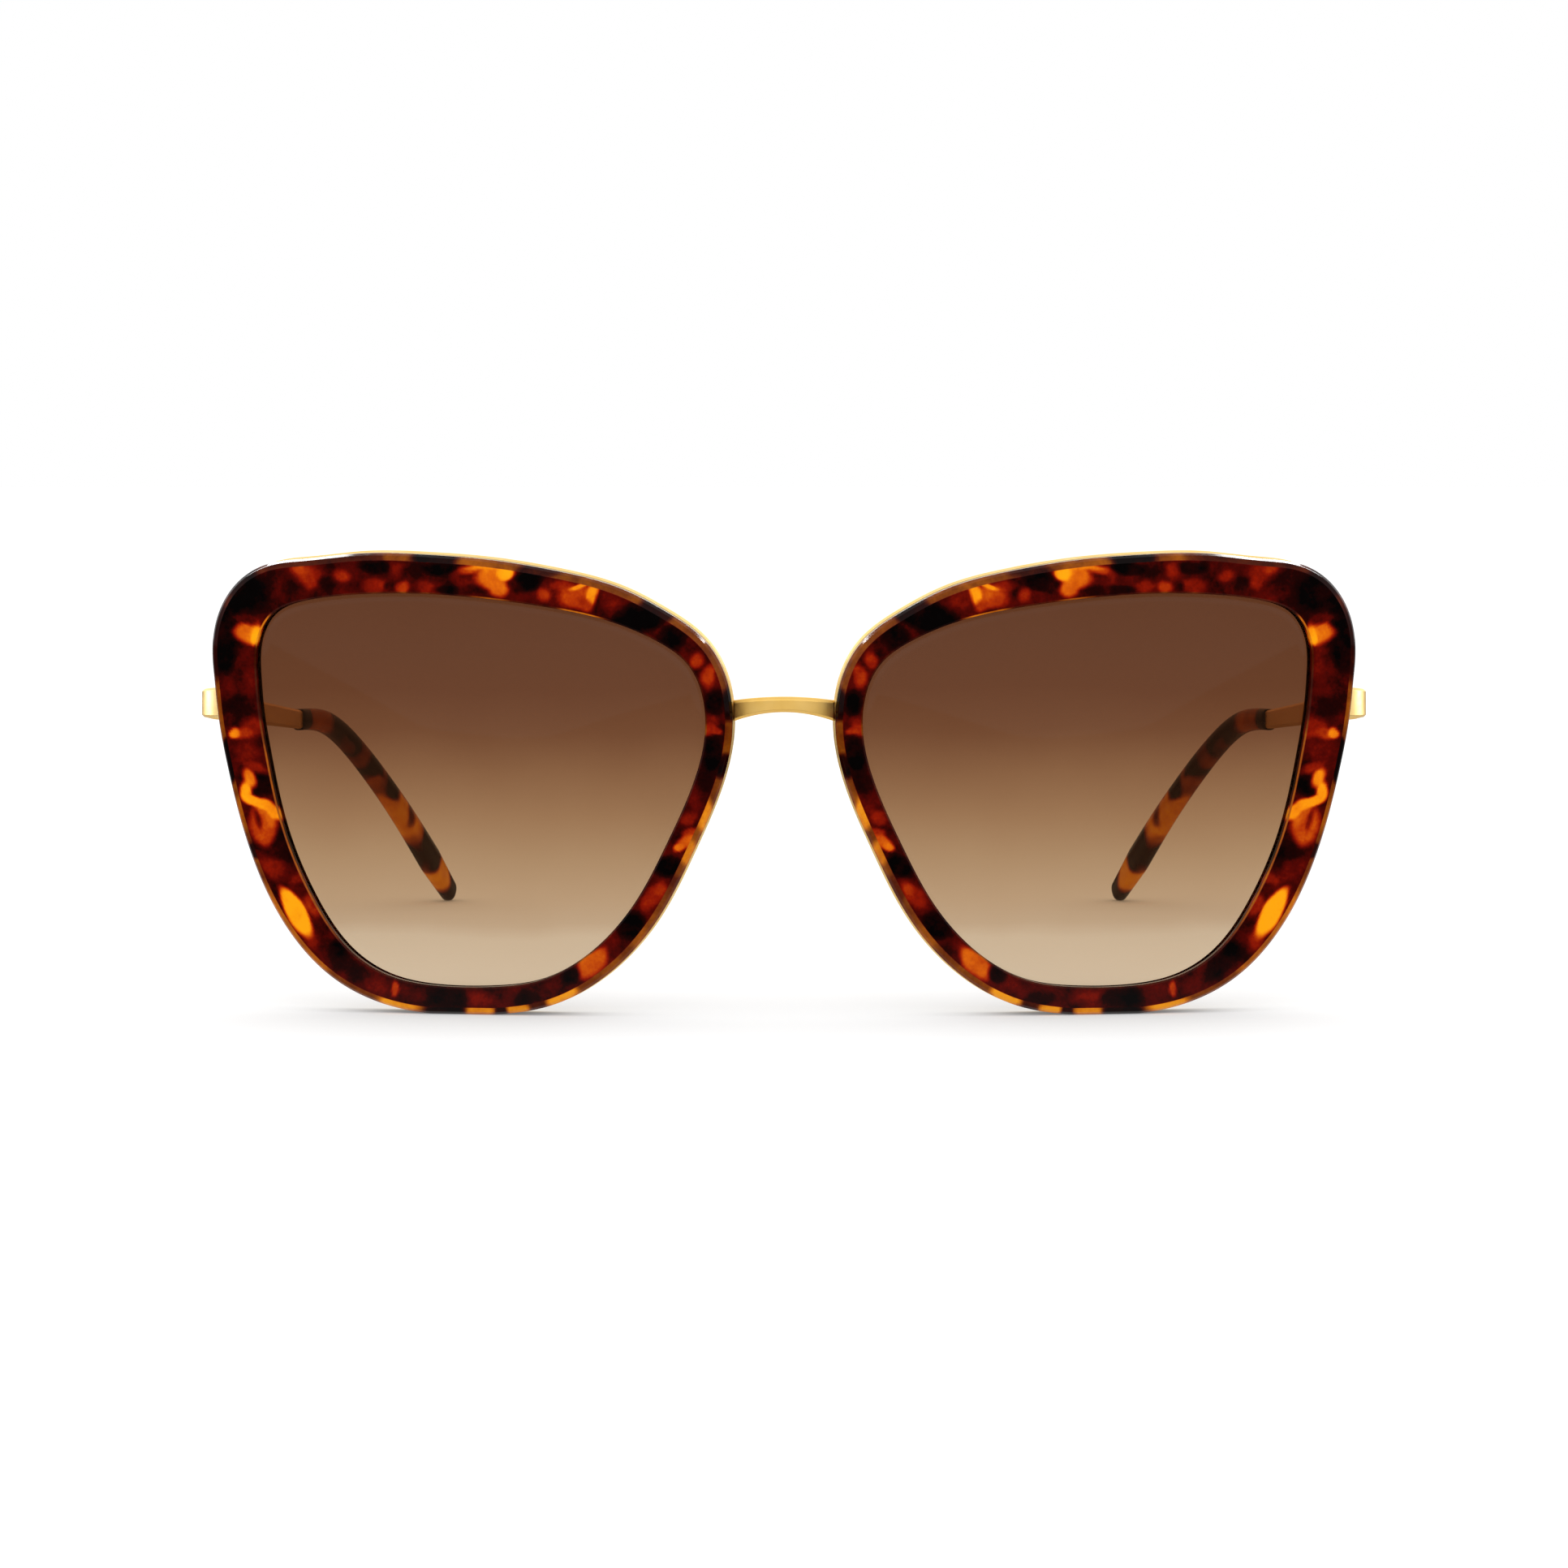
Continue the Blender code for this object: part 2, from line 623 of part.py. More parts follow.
def material(settings):
    name, colour, roughness, metallic = settings
    finish = bpy.data.materials.new(name)
    finish.use_nodes = True
    shader = finish.node_tree.nodes["Principled BSDF"]
    shader.inputs["Base Color"].default_value = colour
    shader.inputs["Roughness"].default_value = roughness
    shader.inputs["Metallic"].default_value = metallic
    finish.diffuse_color = colour
    return finish


def add_piece(name, mesh, settings, parent=None, mirrored=False):
    """An object in the parts' collection. A mirrored one takes its mirroring from its parent or itself."""
    piece = bpy.data.objects.new(name, mesh)
    piece.parent = parent
    if mirrored and parent is None:
        piece.scale.x = -1
    if not mesh.materials:
        mesh.materials.append(material(settings))
        mesh.shade_smooth()
        mesh.set_sharp_from_angle(angle=SHARP_ANGLE)
    PARTS.objects.link(piece)


def hinge_frame(name, side):
    """An empty on the hinge's pivot, turned to the open temple. The right one is mirrored."""
    frame = bpy.data.objects.new(name, None)
    frame.location = (side * PIVOT_X, FRONT_Y + PIVOT_BEHIND_FACE, PIVOT_Z)
    frame.rotation_euler.x = -TEMPLE_DROP
    frame.scale.x = side
    PARTS.objects.link(frame)
    return frame


FRONT_PIECES = {
    "rim": (rim, ACETATE),
    "eyewire": (eyewire, GOLD),
    "lens": (lens, LENS),
    "nose_pad": (nose_pad, ACETATE),
}
SEAT_PIECES = {
    "end_piece": (end_piece, GOLD),
    "rim_lock_upper": (lambda: lock_block(1), GOLD),
    "rim_lock_lower": (lambda: lock_block(-1), GOLD),
    "rim_lock_screw": (lock_screw, GOLD),
    "hinge_front_leaf": (hinge_front_leaf, GOLD),
    "hinge_screw": (hinge_screw, GOLD),
}
TEMPLE_PIECES = {
    "hinge_temple_leaf": (hinge_temple_leaf, GOLD),
    "temple_arm": (temple_arm, GOLD),
    "temple_tip": (temple_tip, ACETATE),
}


def main():
    for leftover in list(bpy.data.objects):
        bpy.data.objects.remove(leftover)
    bpy.context.scene.collection.children.link(PARTS)
    bpy.context.scene.collection.children.link(CUTTERS)
    meshes = {}
    for group in (FRONT_PIECES, SEAT_PIECES, TEMPLE_PIECES):
        for piece, (build, settings) in group.items():
            meshes[piece] = (build(), settings)
    add_piece("bridge", bridge(), GOLD)
    for word, side in (("left", 1), ("right", -1)):
        seat = hinge_frame(f"{word}_hinge_seat", side)
        pivot = hinge_frame(f"{word}_hinge_axis", side)
        for group, parent in ((FRONT_PIECES, None), (SEAT_PIECES, seat), (TEMPLE_PIECES, pivot)):
            for piece in group:
                add_piece(f"{word}_{piece}", *meshes[piece], parent, side < 0)


main()
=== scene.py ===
"""Looks for the cat eye sunglasses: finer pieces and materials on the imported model, and a studio.

Metres, +Z up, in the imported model's frame. The front faces -Y. Left is +X, and the right side mirrors it.
"""

import json
import math

import bmesh
import bpy
import numpy as np
from mathutils import Matrix, Vector, noise

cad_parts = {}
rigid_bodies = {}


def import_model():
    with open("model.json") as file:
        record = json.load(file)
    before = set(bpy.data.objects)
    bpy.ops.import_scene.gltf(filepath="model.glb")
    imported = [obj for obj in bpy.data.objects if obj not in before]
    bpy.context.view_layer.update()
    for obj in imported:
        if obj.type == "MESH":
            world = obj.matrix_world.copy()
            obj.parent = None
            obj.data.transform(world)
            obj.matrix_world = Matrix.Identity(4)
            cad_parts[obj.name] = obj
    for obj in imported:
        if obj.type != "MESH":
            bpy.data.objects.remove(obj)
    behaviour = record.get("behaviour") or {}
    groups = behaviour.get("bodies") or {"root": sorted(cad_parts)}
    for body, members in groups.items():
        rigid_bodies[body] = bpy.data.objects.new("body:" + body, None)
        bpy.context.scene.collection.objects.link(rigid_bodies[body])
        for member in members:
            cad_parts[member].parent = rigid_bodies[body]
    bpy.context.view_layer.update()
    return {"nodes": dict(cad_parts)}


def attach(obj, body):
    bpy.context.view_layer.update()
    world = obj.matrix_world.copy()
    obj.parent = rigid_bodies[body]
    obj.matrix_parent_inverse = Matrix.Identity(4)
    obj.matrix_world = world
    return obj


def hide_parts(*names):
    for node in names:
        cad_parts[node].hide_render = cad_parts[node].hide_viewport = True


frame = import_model()

MM = 0.001

# ---------------------------------------------------------------- the design's sizes, as in the CAD model

WRAP_RADIUS = 300 * MM
FRONT_Y = -73.95 * MM
LENS_CENTRE = Vector((37 * MM, 28.5 * MM))

# One lens opening, from the hinge's height over the top to the nose and back under the lens:
# x, z and the width of the rim there, in millimetres.
OPENING = [
    (65.3, 37.6, 5.6),
    (65.65, 42.0, 5.7),
    (65.4, 46.4, 6.0),
    (63.6, 49.6, 6.0),
    (59.5, 51.3, 5.2),
    (53.0, 52.1, 5.05),
    (45.0, 52.25, 4.85),
    (36.6, 51.65, 4.8),
    (28.9, 50.6, 4.6),
    (21.5, 48.95, 4.25),
    (16.1, 46.75, 3.7),
    (12.0, 43.8, 3.5),
    (9.7, 36.5, 3.35),
    (11.0, 29.6, 3.35),
    (14.5, 21.5, 3.4),
    (18.5, 14.1, 3.5),
    (24.3, 7.7, 3.5),
    (30.0, 4.5, 3.45),
    (36.8, 3.5, 3.55),
    (43.5, 3.6, 3.65),
    (49.0, 4.7, 3.75),
    (53.6, 7.4, 4.25),
    (58.6, 14.1, 5.1),
    (62.2, 22.5, 5.25),
    (64.4, 32.0, 5.5),
]

RIM_DEPTH = 4.0 * MM
RIM_INNER_BEVEL = 0.2 * MM
RIM_OUTER_BEVEL = 0.9 * MM
RIM_BEVEL_KNEE = (0.36 * MM, 0.28 * MM)   # in from the outer side and back from the face
RIM_BACK_BEVEL = 0.3 * MM
RIM_RELIEF = 0.7 * MM
RIM_LIP_ROUNDING = 0.08 * MM
RIM_FACE_ROUNDING = 0.05 * MM    # where the face turns into the outer bevel
RIM_KNEE_ROUNDING = 0.5 * MM
RIM_SIDE_ROUNDING = 0.12 * MM
GROOVE_MIDDLE = 1.5 * MM
GROOVE_HALF_WIDTH = 0.6 * MM
GROOVE_REACH = 0.75 * MM
GROOVE_MOUTH_ROUNDING = 0.04 * MM
GROOVE_ROUNDING = 0.06 * MM

LENS_THICKNESS = 1.6 * MM
LENS_REACH = 0.5 * MM
LENS_SHOULDER = -0.22 * MM
LENS_DOME = 1.2 * MM

EYEWIRE_WIDTH = 1.7 * MM
EYEWIRE_THICKNESS = 1.2 * MM
EYEWIRE_PROUD = 0.2 * MM
EYEWIRE_LIFT = 0.12 * MM
EYEWIRE_GAP = 0.12 * MM      # half the slit that the lock closes
EYEWIRE_ROUNDING = 0.3 * MM
SEAM = 0.1 * MM

BRIDGE_HALF_LENGTH = 6.25 * MM
BRIDGE_THICKNESS = 1.5 * MM
BRIDGE_BOW = 1.0 * MM
BRIDGE_HEIGHTS = (1.9 * MM, 2.6 * MM)
BRIDGE_LEVELS = (38.55 * MM, 37.7 * MM)
BRIDGE_CHAMFER = 0.35 * MM
BRIDGE_ROUNDING = 0.08 * MM

PAD_TOP = 33.5 * MM
PAD_BOTTOM = 18.5 * MM
PAD_DEPTH = 6.5 * MM
PAD_EDGE_DEPTH = 0.5 * MM
PAD_LENS_SIDE = 0.5 * MM
PAD_NOSE_INSET = 0.3 * MM
PAD_NOSE_BEND = 0.25 * MM
PAD_LENS_BEND = 0.2 * MM
PAD_ROUNDING = 0.9 * MM
PAD_ROOT_ROUNDING = 0.05 * MM
PAD_WIRE_ROUNDING = 0.12 * MM
PAD_SOFTNESS = 0.5 * MM      # the largest rounding of its edges
PAD_SOFT_SHARE = 0.25        # and how much of its depth that may take
PAD_BEND_SOFTNESS = 0.6      # the bends are rounded by this share of it
PAD_BEND_SHARE = 0.7

PIVOT = Vector((70.75 * MM, FRONT_Y + 21.0 * MM, 37.5 * MM))
TEMPLE_DROP = math.radians(5.2)
KNUCKLE_RADIUS = 1.3 * MM
BAR_THICKNESS = 1.3 * MM
BAR_HEIGHT = 3.5 * MM
BAR_MIDDLE = KNUCKLE_RADIUS + SEAM + BAR_THICKNESS / 2
BAR_CHAMFER = 0.3 * MM
BAR_ROUNDING = 0.07 * MM
END_PIECE_HEIGHT = 3.9 * MM
END_PIECE_START = -0.45 * MM
END_PIECE_FRONT = -6.15 * MM
END_PIECE_CORNER = 1.9 * MM
ARM_STRAIGHT = 6.0 * MM
ARM_END_THICKNESS = 1.1 * MM
ARM_END_HEIGHT = 2.6 * MM
TIP_PATH = [
    (-2.1, 76.3, 0.0),
    (-4.9, 86.0, -0.1),
    (-8.0, 95.5, -3.2),
    (-11.6, 104.5, -8.6),
    (-14.8, 113.0, -14.2),
    (-17.7, 121.3, -19.9),
    (-20.0, 128.0, -24.42),
]
TIP_ROUNDNESS = 2.5
TIP_SIZES = [(0.0, 2.3, 3.0), (0.15, 2.5, 3.2), (0.55, 2.7, 3.6), (0.86, 2.8, 4.4), (1.0, 2.3, 3.3)]
TIP_START_LENGTH = 0.25 * MM
TIP_END_LENGTH = 1.5 * MM

# How finely the pieces are made
RIM_STEPS = 660
FACE_STEPS = 17
LENS_STEPS = 240
LENS_RINGS = 26
PAD_STEPS = 48
BRIDGE_STEPS = 61
CORNER_STEPS = 24
ARM_STEPS = 30
TIP_STEPS = 110
TIP_SIDES = 40
END_STEPS = 9
CORNER_HOLD = 0.03 * MM       # how near a rounded corner its flats get a point
PAD_CORNER_HOLD = 0.01 * MM

# ---------------------------------------------------------------- the tortoise shell pattern

# Patches of tone, each laid over those before it: x, z, half length, half width (mm), turn (degrees),
# tone (0 black, 0.4 red, 0.6 orange, 1 amber) and softness. x is the distance from the middle.
FACE_GROUND = 0.2
FACE_PATCHES = [
    # over the top, from the outer corner to the nose
    (62.2, 53.3, 1.8, 1.8, 0, 0.17, 0.5),
    (66.6, 52.4, 3.2, 2.4, 40, 0.0, 0.4),
    (69.2, 49.6, 1.5, 2.4, 0, 0.0, 0.5),
    (59.0, 54.6, 2.3, 1.1, 10, 0.40, 0.5),
    (60.2, 55.1, 0.9, 0.6, 0, 0.50, 0.6),
    (58.4, 53.6, 1.0, 0.8, -30, 0.40, 0.6),
    (56.7, 53.5, 0.9, 1.1, 30, 0.12, 0.5),
    (54.7, 54.5, 1.1, 0.8, 35, 0.43, 0.6),
    (53.3, 53.0, 1.2, 0.8, 0, 0.16, 0.6),
    (50.6, 55.4, 1.7, 0.8, 0, 0.03, 0.4),
    (50.5, 53.1, 1.6, 0.9, 0, 0.38, 0.4),
    (48.7, 53.1, 0.6, 0.7, 0, 0.12, 0.5),
    (47.2, 53.0, 0.9, 0.8, 0, 0.45, 0.4),
    (48.2, 55.3, 0.9, 0.9, 0, 0.36, 0.6),
    (44.4, 53.1, 1.3, 0.8, 0, 0.36, 0.5),
    (45.9, 55.0, 1.6, 0.7, 0, 0.14, 0.6),
    (42.4, 55.6, 2.2, 0.8, -2, 0.0, 0.4),
    (41.6, 52.8, 1.6, 0.6, 0, 0.05, 0.4),
    (40.6, 54.3, 0.8, 0.7, 0, 0.30, 0.6),
    (38.6, 55.2, 1.5, 0.7, -10, 0.56, 0.5),
    (38.7, 53.6, 1.7, 0.5, -5, 0.28, 0.5),
    (35.7, 54.5, 2.3, 1.3, -20, 0.74, 0.35),
    (35.3, 53.0, 1.2, 1.2, 0, 0.70, 0.4),
    (36.3, 55.5, 2.5, 0.45, -3, 0.82, 0.4),
    (34.2, 54.9, 0.9, 0.8, -30, 0.95, 0.3),
    (38.8, 52.6, 1.8, 0.5, -3, 0.16, 0.5),
    (31.2, 54.2, 2.0, 1.2, -10, 0.0, 0.35),
    (33.1, 53.1, 1.0, 0.6, 50, 0.10, 0.5),
    (31.8, 52.0, 1.5, 0.7, -10, 0.22, 0.6),
    (29.7, 52.3, 0.8, 0.8, 20, 0.46, 0.5),
    (28.2, 51.4, 0.7, 1.0, 20, 0.22, 0.5),
    (27.3, 53.2, 1.2, 0.7, -10, 0.38, 0.5),
    (25.4, 52.0, 2.3, 1.6, -10, 0.58, 0.35),
    (25.2, 53.35, 1.4, 0.3, -14, 0.88, 0.4),
    (23.5, 52.2, 0.65, 1.2, 5, 0.92, 0.35),
    (24.3, 50.9, 0.9, 0.8, 0, 0.50, 0.5),
    (21.6, 51.8, 1.1, 1.2, 0, 0.27, 0.5),
    (17.6, 49.7, 4.8, 1.9, -24, 0.0, 0.3),
    (13.8, 47.0, 2.0, 1.5, -40, 0.03, 0.4),
    (11.4, 45.6, 1.2, 0.8, -50, 0.14, 0.5),
    (10.9, 44.2, 0.9, 1.1, 30, 0.46, 0.45),
    (9.3, 42.4, 0.9, 1.5, 20, 0.46, 0.45),
    (8.0, 42.6, 0.5, 1.5, 20, 0.26, 0.5),
    (8.6, 39.0, 1.4, 1.5, 0, 0.0, 0.4),
    (7.0, 38.6, 0.5, 1.6, 0, 0.12, 0.5),
    (9.1, 36.7, 0.8, 0.7, 0, 0.32, 0.5),
    (9.5, 35.7, 0.9, 0.8, 0, 0.46, 0.4),
    (8.5, 35.3, 0.8, 0.45, 10, 0.50, 0.4),
    # down the nose and along the bottom
    (8.9, 32.6, 1.4, 1.9, 0, 0.0, 0.35),
    (9.6, 29.3, 1.3, 1.2, -20, 0.12, 0.5),
    (11.0, 26.8, 0.8, 1.3, -25, 0.28, 0.5),
    (11.6, 24.8, 1.0, 0.8, -20, 0.38, 0.5),
    (11.5, 22.8, 1.3, 0.8, -10, 0.50, 0.4),
    (12.4, 21.7, 1.4, 0.7, -30, 0.66, 0.4),
    (13.3, 21.0, 0.7, 0.4, -20, 0.74, 0.4),
    (14.2, 18.7, 1.6, 1.3, -25, 0.0, 0.35),
    (16.0, 15.0, 2.2, 1.1, -60, 0.40, 0.4),
    (15.4, 15.8, 0.8, 0.6, -60, 0.48, 0.5),
    (18.8, 11.4, 1.7, 1.5, -45, 0.0, 0.35),
    (21.4, 9.3, 1.0, 1.0, -45, 0.30, 0.5),
    (23.6, 6.6, 2.4, 1.2, -42, 0.64, 0.3),
    (26.4, 4.9, 1.4, 0.9, -35, 0.04, 0.4),
    (28.9, 3.2, 1.2, 0.8, -20, 0.26, 0.5),
    (32.0, 2.4, 1.4, 0.9, 0, 0.10, 0.5),
    (37.7, 2.1, 1.9, 0.9, 0, 0.32, 0.5),
    (34.4, 2.2, 0.9, 0.9, 0, 0.22, 0.5),
    (42.2, 2.0, 2.6, 1.1, 0, 0.05, 0.5),
    (46.2, 2.6, 1.4, 0.8, 10, 0.24, 0.5),
    (48.5, 3.2, 0.5, 1.1, 0, 0.54, 0.35),
    (50.6, 3.7, 1.3, 0.9, 20, 0.24, 0.5),
    (54.4, 6.0, 2.6, 1.2, 35, 0.06, 0.5),
    (55.4, 7.8, 1.2, 0.9, 40, 0.0, 0.4),
    # up the outer side
    (58.8, 9.0, 1.2, 0.9, 50, 0.36, 0.5),
    (57.6, 10.9, 1.2, 1.1, 50, 0.18, 0.5),
    (58.7, 13.3, 1.5, 0.9, 60, 0.44, 0.4),
    (60.9, 12.7, 3.6, 1.15, 59, 1.0, 0.22),
    (60.5, 16.6, 1.0, 1.0, 0, 0.34, 0.4),
    (60.2, 15.7, 1.0, 0.5, 20, 0.20, 0.5),
    (63.7, 17.8, 1.8, 1.0, 20, 0.31, 0.5),
    (63.3, 20.3, 3.1, 1.2, 18, 0.10, 0.35),
    (62.5, 21.8, 0.9, 0.9, 0, 0.12, 0.4),
    (65.1, 23.2, 1.8, 2.3, -10, 0.60, 0.3),
    (65.8, 23.9, 0.4, 1.3, -12, 0.34, 0.5),
    (64.0, 23.9, 0.6, 1.0, -10, 0.66, 0.5),
    (64.7, 28.3, 1.4, 1.3, -10, 0.08, 0.3),
    (66.5, 29.2, 1.2, 0.8, 50, 0.80, 0.45),
    (67.1, 27.6, 0.85, 1.2, -8, 0.96, 0.35),
    (66.2, 26.3, 1.4, 0.75, 30, 0.94, 0.35),
    (64.7, 25.6, 1.6, 0.75, 20, 0.92, 0.35),
    (63.3, 24.6, 1.1, 0.8, 45, 0.88, 0.35),
    (65.7, 30.4, 1.6, 0.6, 20, 0.42, 0.5),
    (66.6, 32.3, 1.9, 1.3, 0, 0.28, 0.5),
    (66.2, 35.4, 1.6, 1.4, 0, 0.40, 0.5),
    (67.5, 34.7, 1.2, 0.8, 0, 0.52, 0.5),
    (68.5, 34.8, 0.5, 0.7, -10, 0.82, 0.4),
    (67.6, 38.0, 2.1, 1.5, 0, 0.08, 0.5),
    (68.3, 42.5, 1.2, 2.0, 0, 0.20, 0.5),
    (66.5, 43.0, 0.7, 3.0, 0, 0.27, 0.5),
    (69.4, 44.8, 1.6, 2.6, 10, 0.0, 0.35),
    (66.6, 47.3, 2.0, 1.35, 5, 0.70, 0.35),
    (65.8, 47.3, 0.55, 1.4, 12, 0.93, 0.3),
    (67.0, 48.9, 1.8, 0.5, 10, 0.25, 0.5),
]
# The same on the bevel round the rim's outer edge, where the shell is slim. Its lighter ground and colours
# there are painted light: they stand for light shining through the slim shell.
BEVEL_LIT_THROUGH_GROUND = 0.5
BEVEL_CONTRAST = 1.3
BEVEL_PATCHES = [
    (70.5, 46.5, 1.6, 5.2, 0, 0.24, 0.3),
    (67.5, 53.5, 3.5, 2.6, 45, 0.16, 0.4),
    (57.0, 56.2, 7.5, 1.0, -4, 0.34, 0.3),
    (48.2, 56.5, 1.8, 1.0, 0, 0.56, 0.4),
    (43.0, 56.5, 3.0, 1.2, 0, 0.12, 0.3),
    (37.2, 56.1, 3.2, 1.0, 0, 0.58, 0.3),
    (30.2, 55.2, 3.3, 1.3, -12, 0.30, 0.3),
    (23.6, 53.6, 2.8, 1.1, -18, 0.55, 0.3),
    (15.5, 50.4, 5.4, 1.8, -33, 0.18, 0.3),
    (8.6, 44.2, 1.6, 3.2, 35, 0.52, 0.3),
    (6.6, 38.6, 1.4, 2.2, 0, 0.14, 0.3),
    (6.8, 34.8, 1.2, 2.0, 0, 0.50, 0.3),
    (7.2, 31.2, 1.2, 1.7, 0, 0.16, 0.3),
    (9.6, 25.2, 1.4, 5.0, -25, 0.80, 0.35),
    (11.8, 20.4, 1.3, 1.8, -30, 0.74, 0.4),
    (14.0, 15.8, 1.4, 3.0, -30, 0.42, 0.4),
    (17.8, 9.9, 1.3, 2.4, -45, 0.60, 0.4),
    (22.2, 5.4, 1.4, 2.6, -50, 0.52, 0.4),
    (27.4, 2.4, 2.1, 1.4, -20, 0.92, 0.3),
    (30.8, 1.2, 1.2, 1.2, 0, 0.34, 0.3),
    (33.1, 0.9, 1.3, 1.2, 0, 0.86, 0.3),
    (35.2, 0.6, 0.8, 1.2, 0, 0.22, 0.3),
    (37.9, 0.5, 1.8, 1.2, 0, 0.84, 0.3),
    (42.2, 0.6, 2.5, 1.3, 0, 0.12, 0.3),
    (48.0, 1.3, 2.8, 1.4, 12, 0.88, 0.35),
    (53.6, 3.8, 2.9, 1.4, 30, 0.50, 0.4),
    (58.2, 7.4, 2.6, 1.4, 45, 0.64, 0.4),
    (62.0, 12.2, 4.0, 1.6, 58, 0.66, 0.4),
    (65.8, 20.2, 1.2, 1.1, 0, 0.20, 0.3),
    (67.6, 25.0, 1.2, 3.0, 12, 0.58, 0.4),
    (69.2, 31.3, 1.2, 3.1, 8, 0.0, 0.2),
    (70.2, 38.0, 1.2, 3.2, 5, 0.55, 0.3),
]
# And on the narrow lip beside the lens, over the face's own tones. The lip is lighter with painted light
# shining through it.
LIP_PATCHES = [
    (61.5, 23.0, 14.5, 2.6, 67, 0.68, 0.25),
    (25.0, 50.0, 4.0, 1.5, -14, 0.8, 0.4),
    (64.6, 47.5, 1.2, 2.2, 0, 0.85, 0.4),
    (36.0, 52.2, 2.6, 1.0, 0, 0.66, 0.4),
]
# On a temple tip: place along it and half length (mm), height over its middle line and half height
# (as shares of its half height), tone and softness
TIP_GROUND = 0.5
TIP_PATCHES = [
    (0.0, 2.4, 0.0, 3.0, 0.0, 0.25),
    (6.6, 4.0, 0.0, 2.0, 0.70, 0.5),
    (16.5, 5.5, 0.1, 1.6, 0.05, 0.4),
    (17.5, 2.0, -0.9, 0.5, 0.34, 0.6),
    (22.8, 1.6, -0.2, 1.4, 0.42, 0.6),
    (26.6, 2.3, 0.0, 1.4, 0.03, 0.4),
    (28.5, 1.5, -0.9, 0.4, 0.60, 0.6),
    (29.8, 1.3, 0.6, 0.7, 0.50, 0.6),
    (33.2, 2.2, 0.1, 1.3, 0.02, 0.4),
    (34.8, 2.6, -0.9, 0.5, 0.86, 0.5),
    (40.0, 5.0, -0.2, 1.6, 0.92, 0.35),
    (41.0, 1.3, 0.3, 0.5, 0.36, 0.7),
    (38.0, 1.0, 0.9, 0.5, 0.30, 0.7),
    (49.2, 3.9, 0.1, 1.5, 0.00, 0.3),
    (55.6, 2.6, 0.0, 2.0, 0.95, 0.3),
    (61.5, 2.6, 0.0, 3.0, 0.03, 0.3),
]

NOISE_SEED = 75              # the noise is the same on every run
WARP = 0.6 * MM              # how far it shifts the patches' outlines
WARP_SIZE = 3.0 * MM
TIP_WARP = 1.4               # the same along a tip, in millimetres
# The tips take the lighter edge colours: painted light shining through the slim acetate.
TIP_LIT_THROUGH_SHARE = 0.75          # the slim tips take this share of the thin edges' colour
TONE_BLEND = 0.1             # over how many millimetres the face, bevel and lip turn into each other
SIDE_BLEND = 0.15            # and the bevel and the rim's side
# The lip's extra lightness is painted light shining through it.
LIP_LIT_THROUGH_TONE = 0.08              # the lip beside the lens is this much lighter than the face

noise.seed_set(NOISE_SEED)

# Tone to colour (sRGB, 0 to 255) for the thick shell and for its slim edges. The edges' lighter, paler
# colours are painted light shining through the shell there.
SHELL_COLOURS = [
    (0.0, (2, 0, 0)),
    (0.14, (32, 1, 0)),
    (0.28, (84, 5, 1)),
    (0.42, (136, 21, 2)),
    (0.56, (178, 53, 4)),
    (0.72, (218, 99, 8)),
    (0.86, (245, 138, 10)),
    (1.0, (255, 166, 14)),
]
LIT_THROUGH_EDGE_COLOURS = [
    (0.0, (8, 0, 0)),
    (0.2, (40, 3, 0)),
    (0.38, (84, 26, 2)),
    (0.52, (120, 57, 6)),
    (0.7, (168, 88, 10)),
    (0.86, (216, 122, 14)),
    (1.0, (246, 158, 30)),
]
# What the two faces of a lens let through together, by height (mm), and the colour of the tint itself.
# Lighter below about 11 mm: painted light of the pale floor showing through the lens.
LENS_TINT_AND_FLOOR_LIGHT = [
    (3.0, (212, 190, 162)),
    (9.6, (202, 178, 148)),
    (11.4, (191, 163, 131)),
    (14.2, (185, 154, 120)),
    (19.5, (172, 138, 103)),
    (24.7, (156, 118, 84)),
    (30.0, (138, 98, 67)),
    (35.3, (116, 75, 49)),
    (40.5, (106, 65, 41)),
    (46.0, (103, 63, 40)),
    (53.0, (99, 58, 34)),
]
LENS_BODY = 0.022            # share of each face that shows the tint's own colour
LENS_BODY_COLOUR = (0.5, 0.2, 0.07, 1.0)
LENS_BACKDROP = 1.1          # the brightness behind the lenses that the tint is meant for
SHELL_CLOUDS = 0.08          # how far soft clouds shift a tone
SHELL_GRAIN = 0.025          # and how far a fine grain does
SHELL_ROUGHNESS = (0.05, 0.1)
SHELL_SPECULAR = 0.07
LENS_CLOUDS = 0.012          # how far soft clouds shift the tint, as a share of its height
LENS_ROUGHNESS = 0.02
LENS_COATING = 1.2           # the index of refraction of its coated surface
GOLD_ROUGHNESS = (0.38, 0.48)
GOLD = (244, 196, 98)
GOLD_PALE = (250, 208, 122)
# Painted highlight: the eyewires and the end pieces get a paler copy of the gold so that their shine reads
# cream.
FRONT_GOLD_FOR_HIGHLIGHTS = (246, 208, 130)   # the eyewires and the end pieces are a little paler
FRONT_GOLD_PALE_FOR_HIGHLIGHTS = (250, 220, 156)

# Features a metre of the materials' noises
SHELL_CLOUD_SCALE = 380
SHELL_GRAIN_SCALE = 2600
SHELL_POLISH_SCALE = 900
SHELL_WAVE_SCALE = 160
GOLD_CLOUD_SCALE = 300
GOLD_POLISH_SCALE = 1400
GOLD_SPECKLE_SCALE = 9000
LENS_CLOUD_SCALE = 60
NOISE_MIDDLE = (0.3, 0.7)    # the range that most of a noise lies in


# ---------------------------------------------------------------- curves and sections

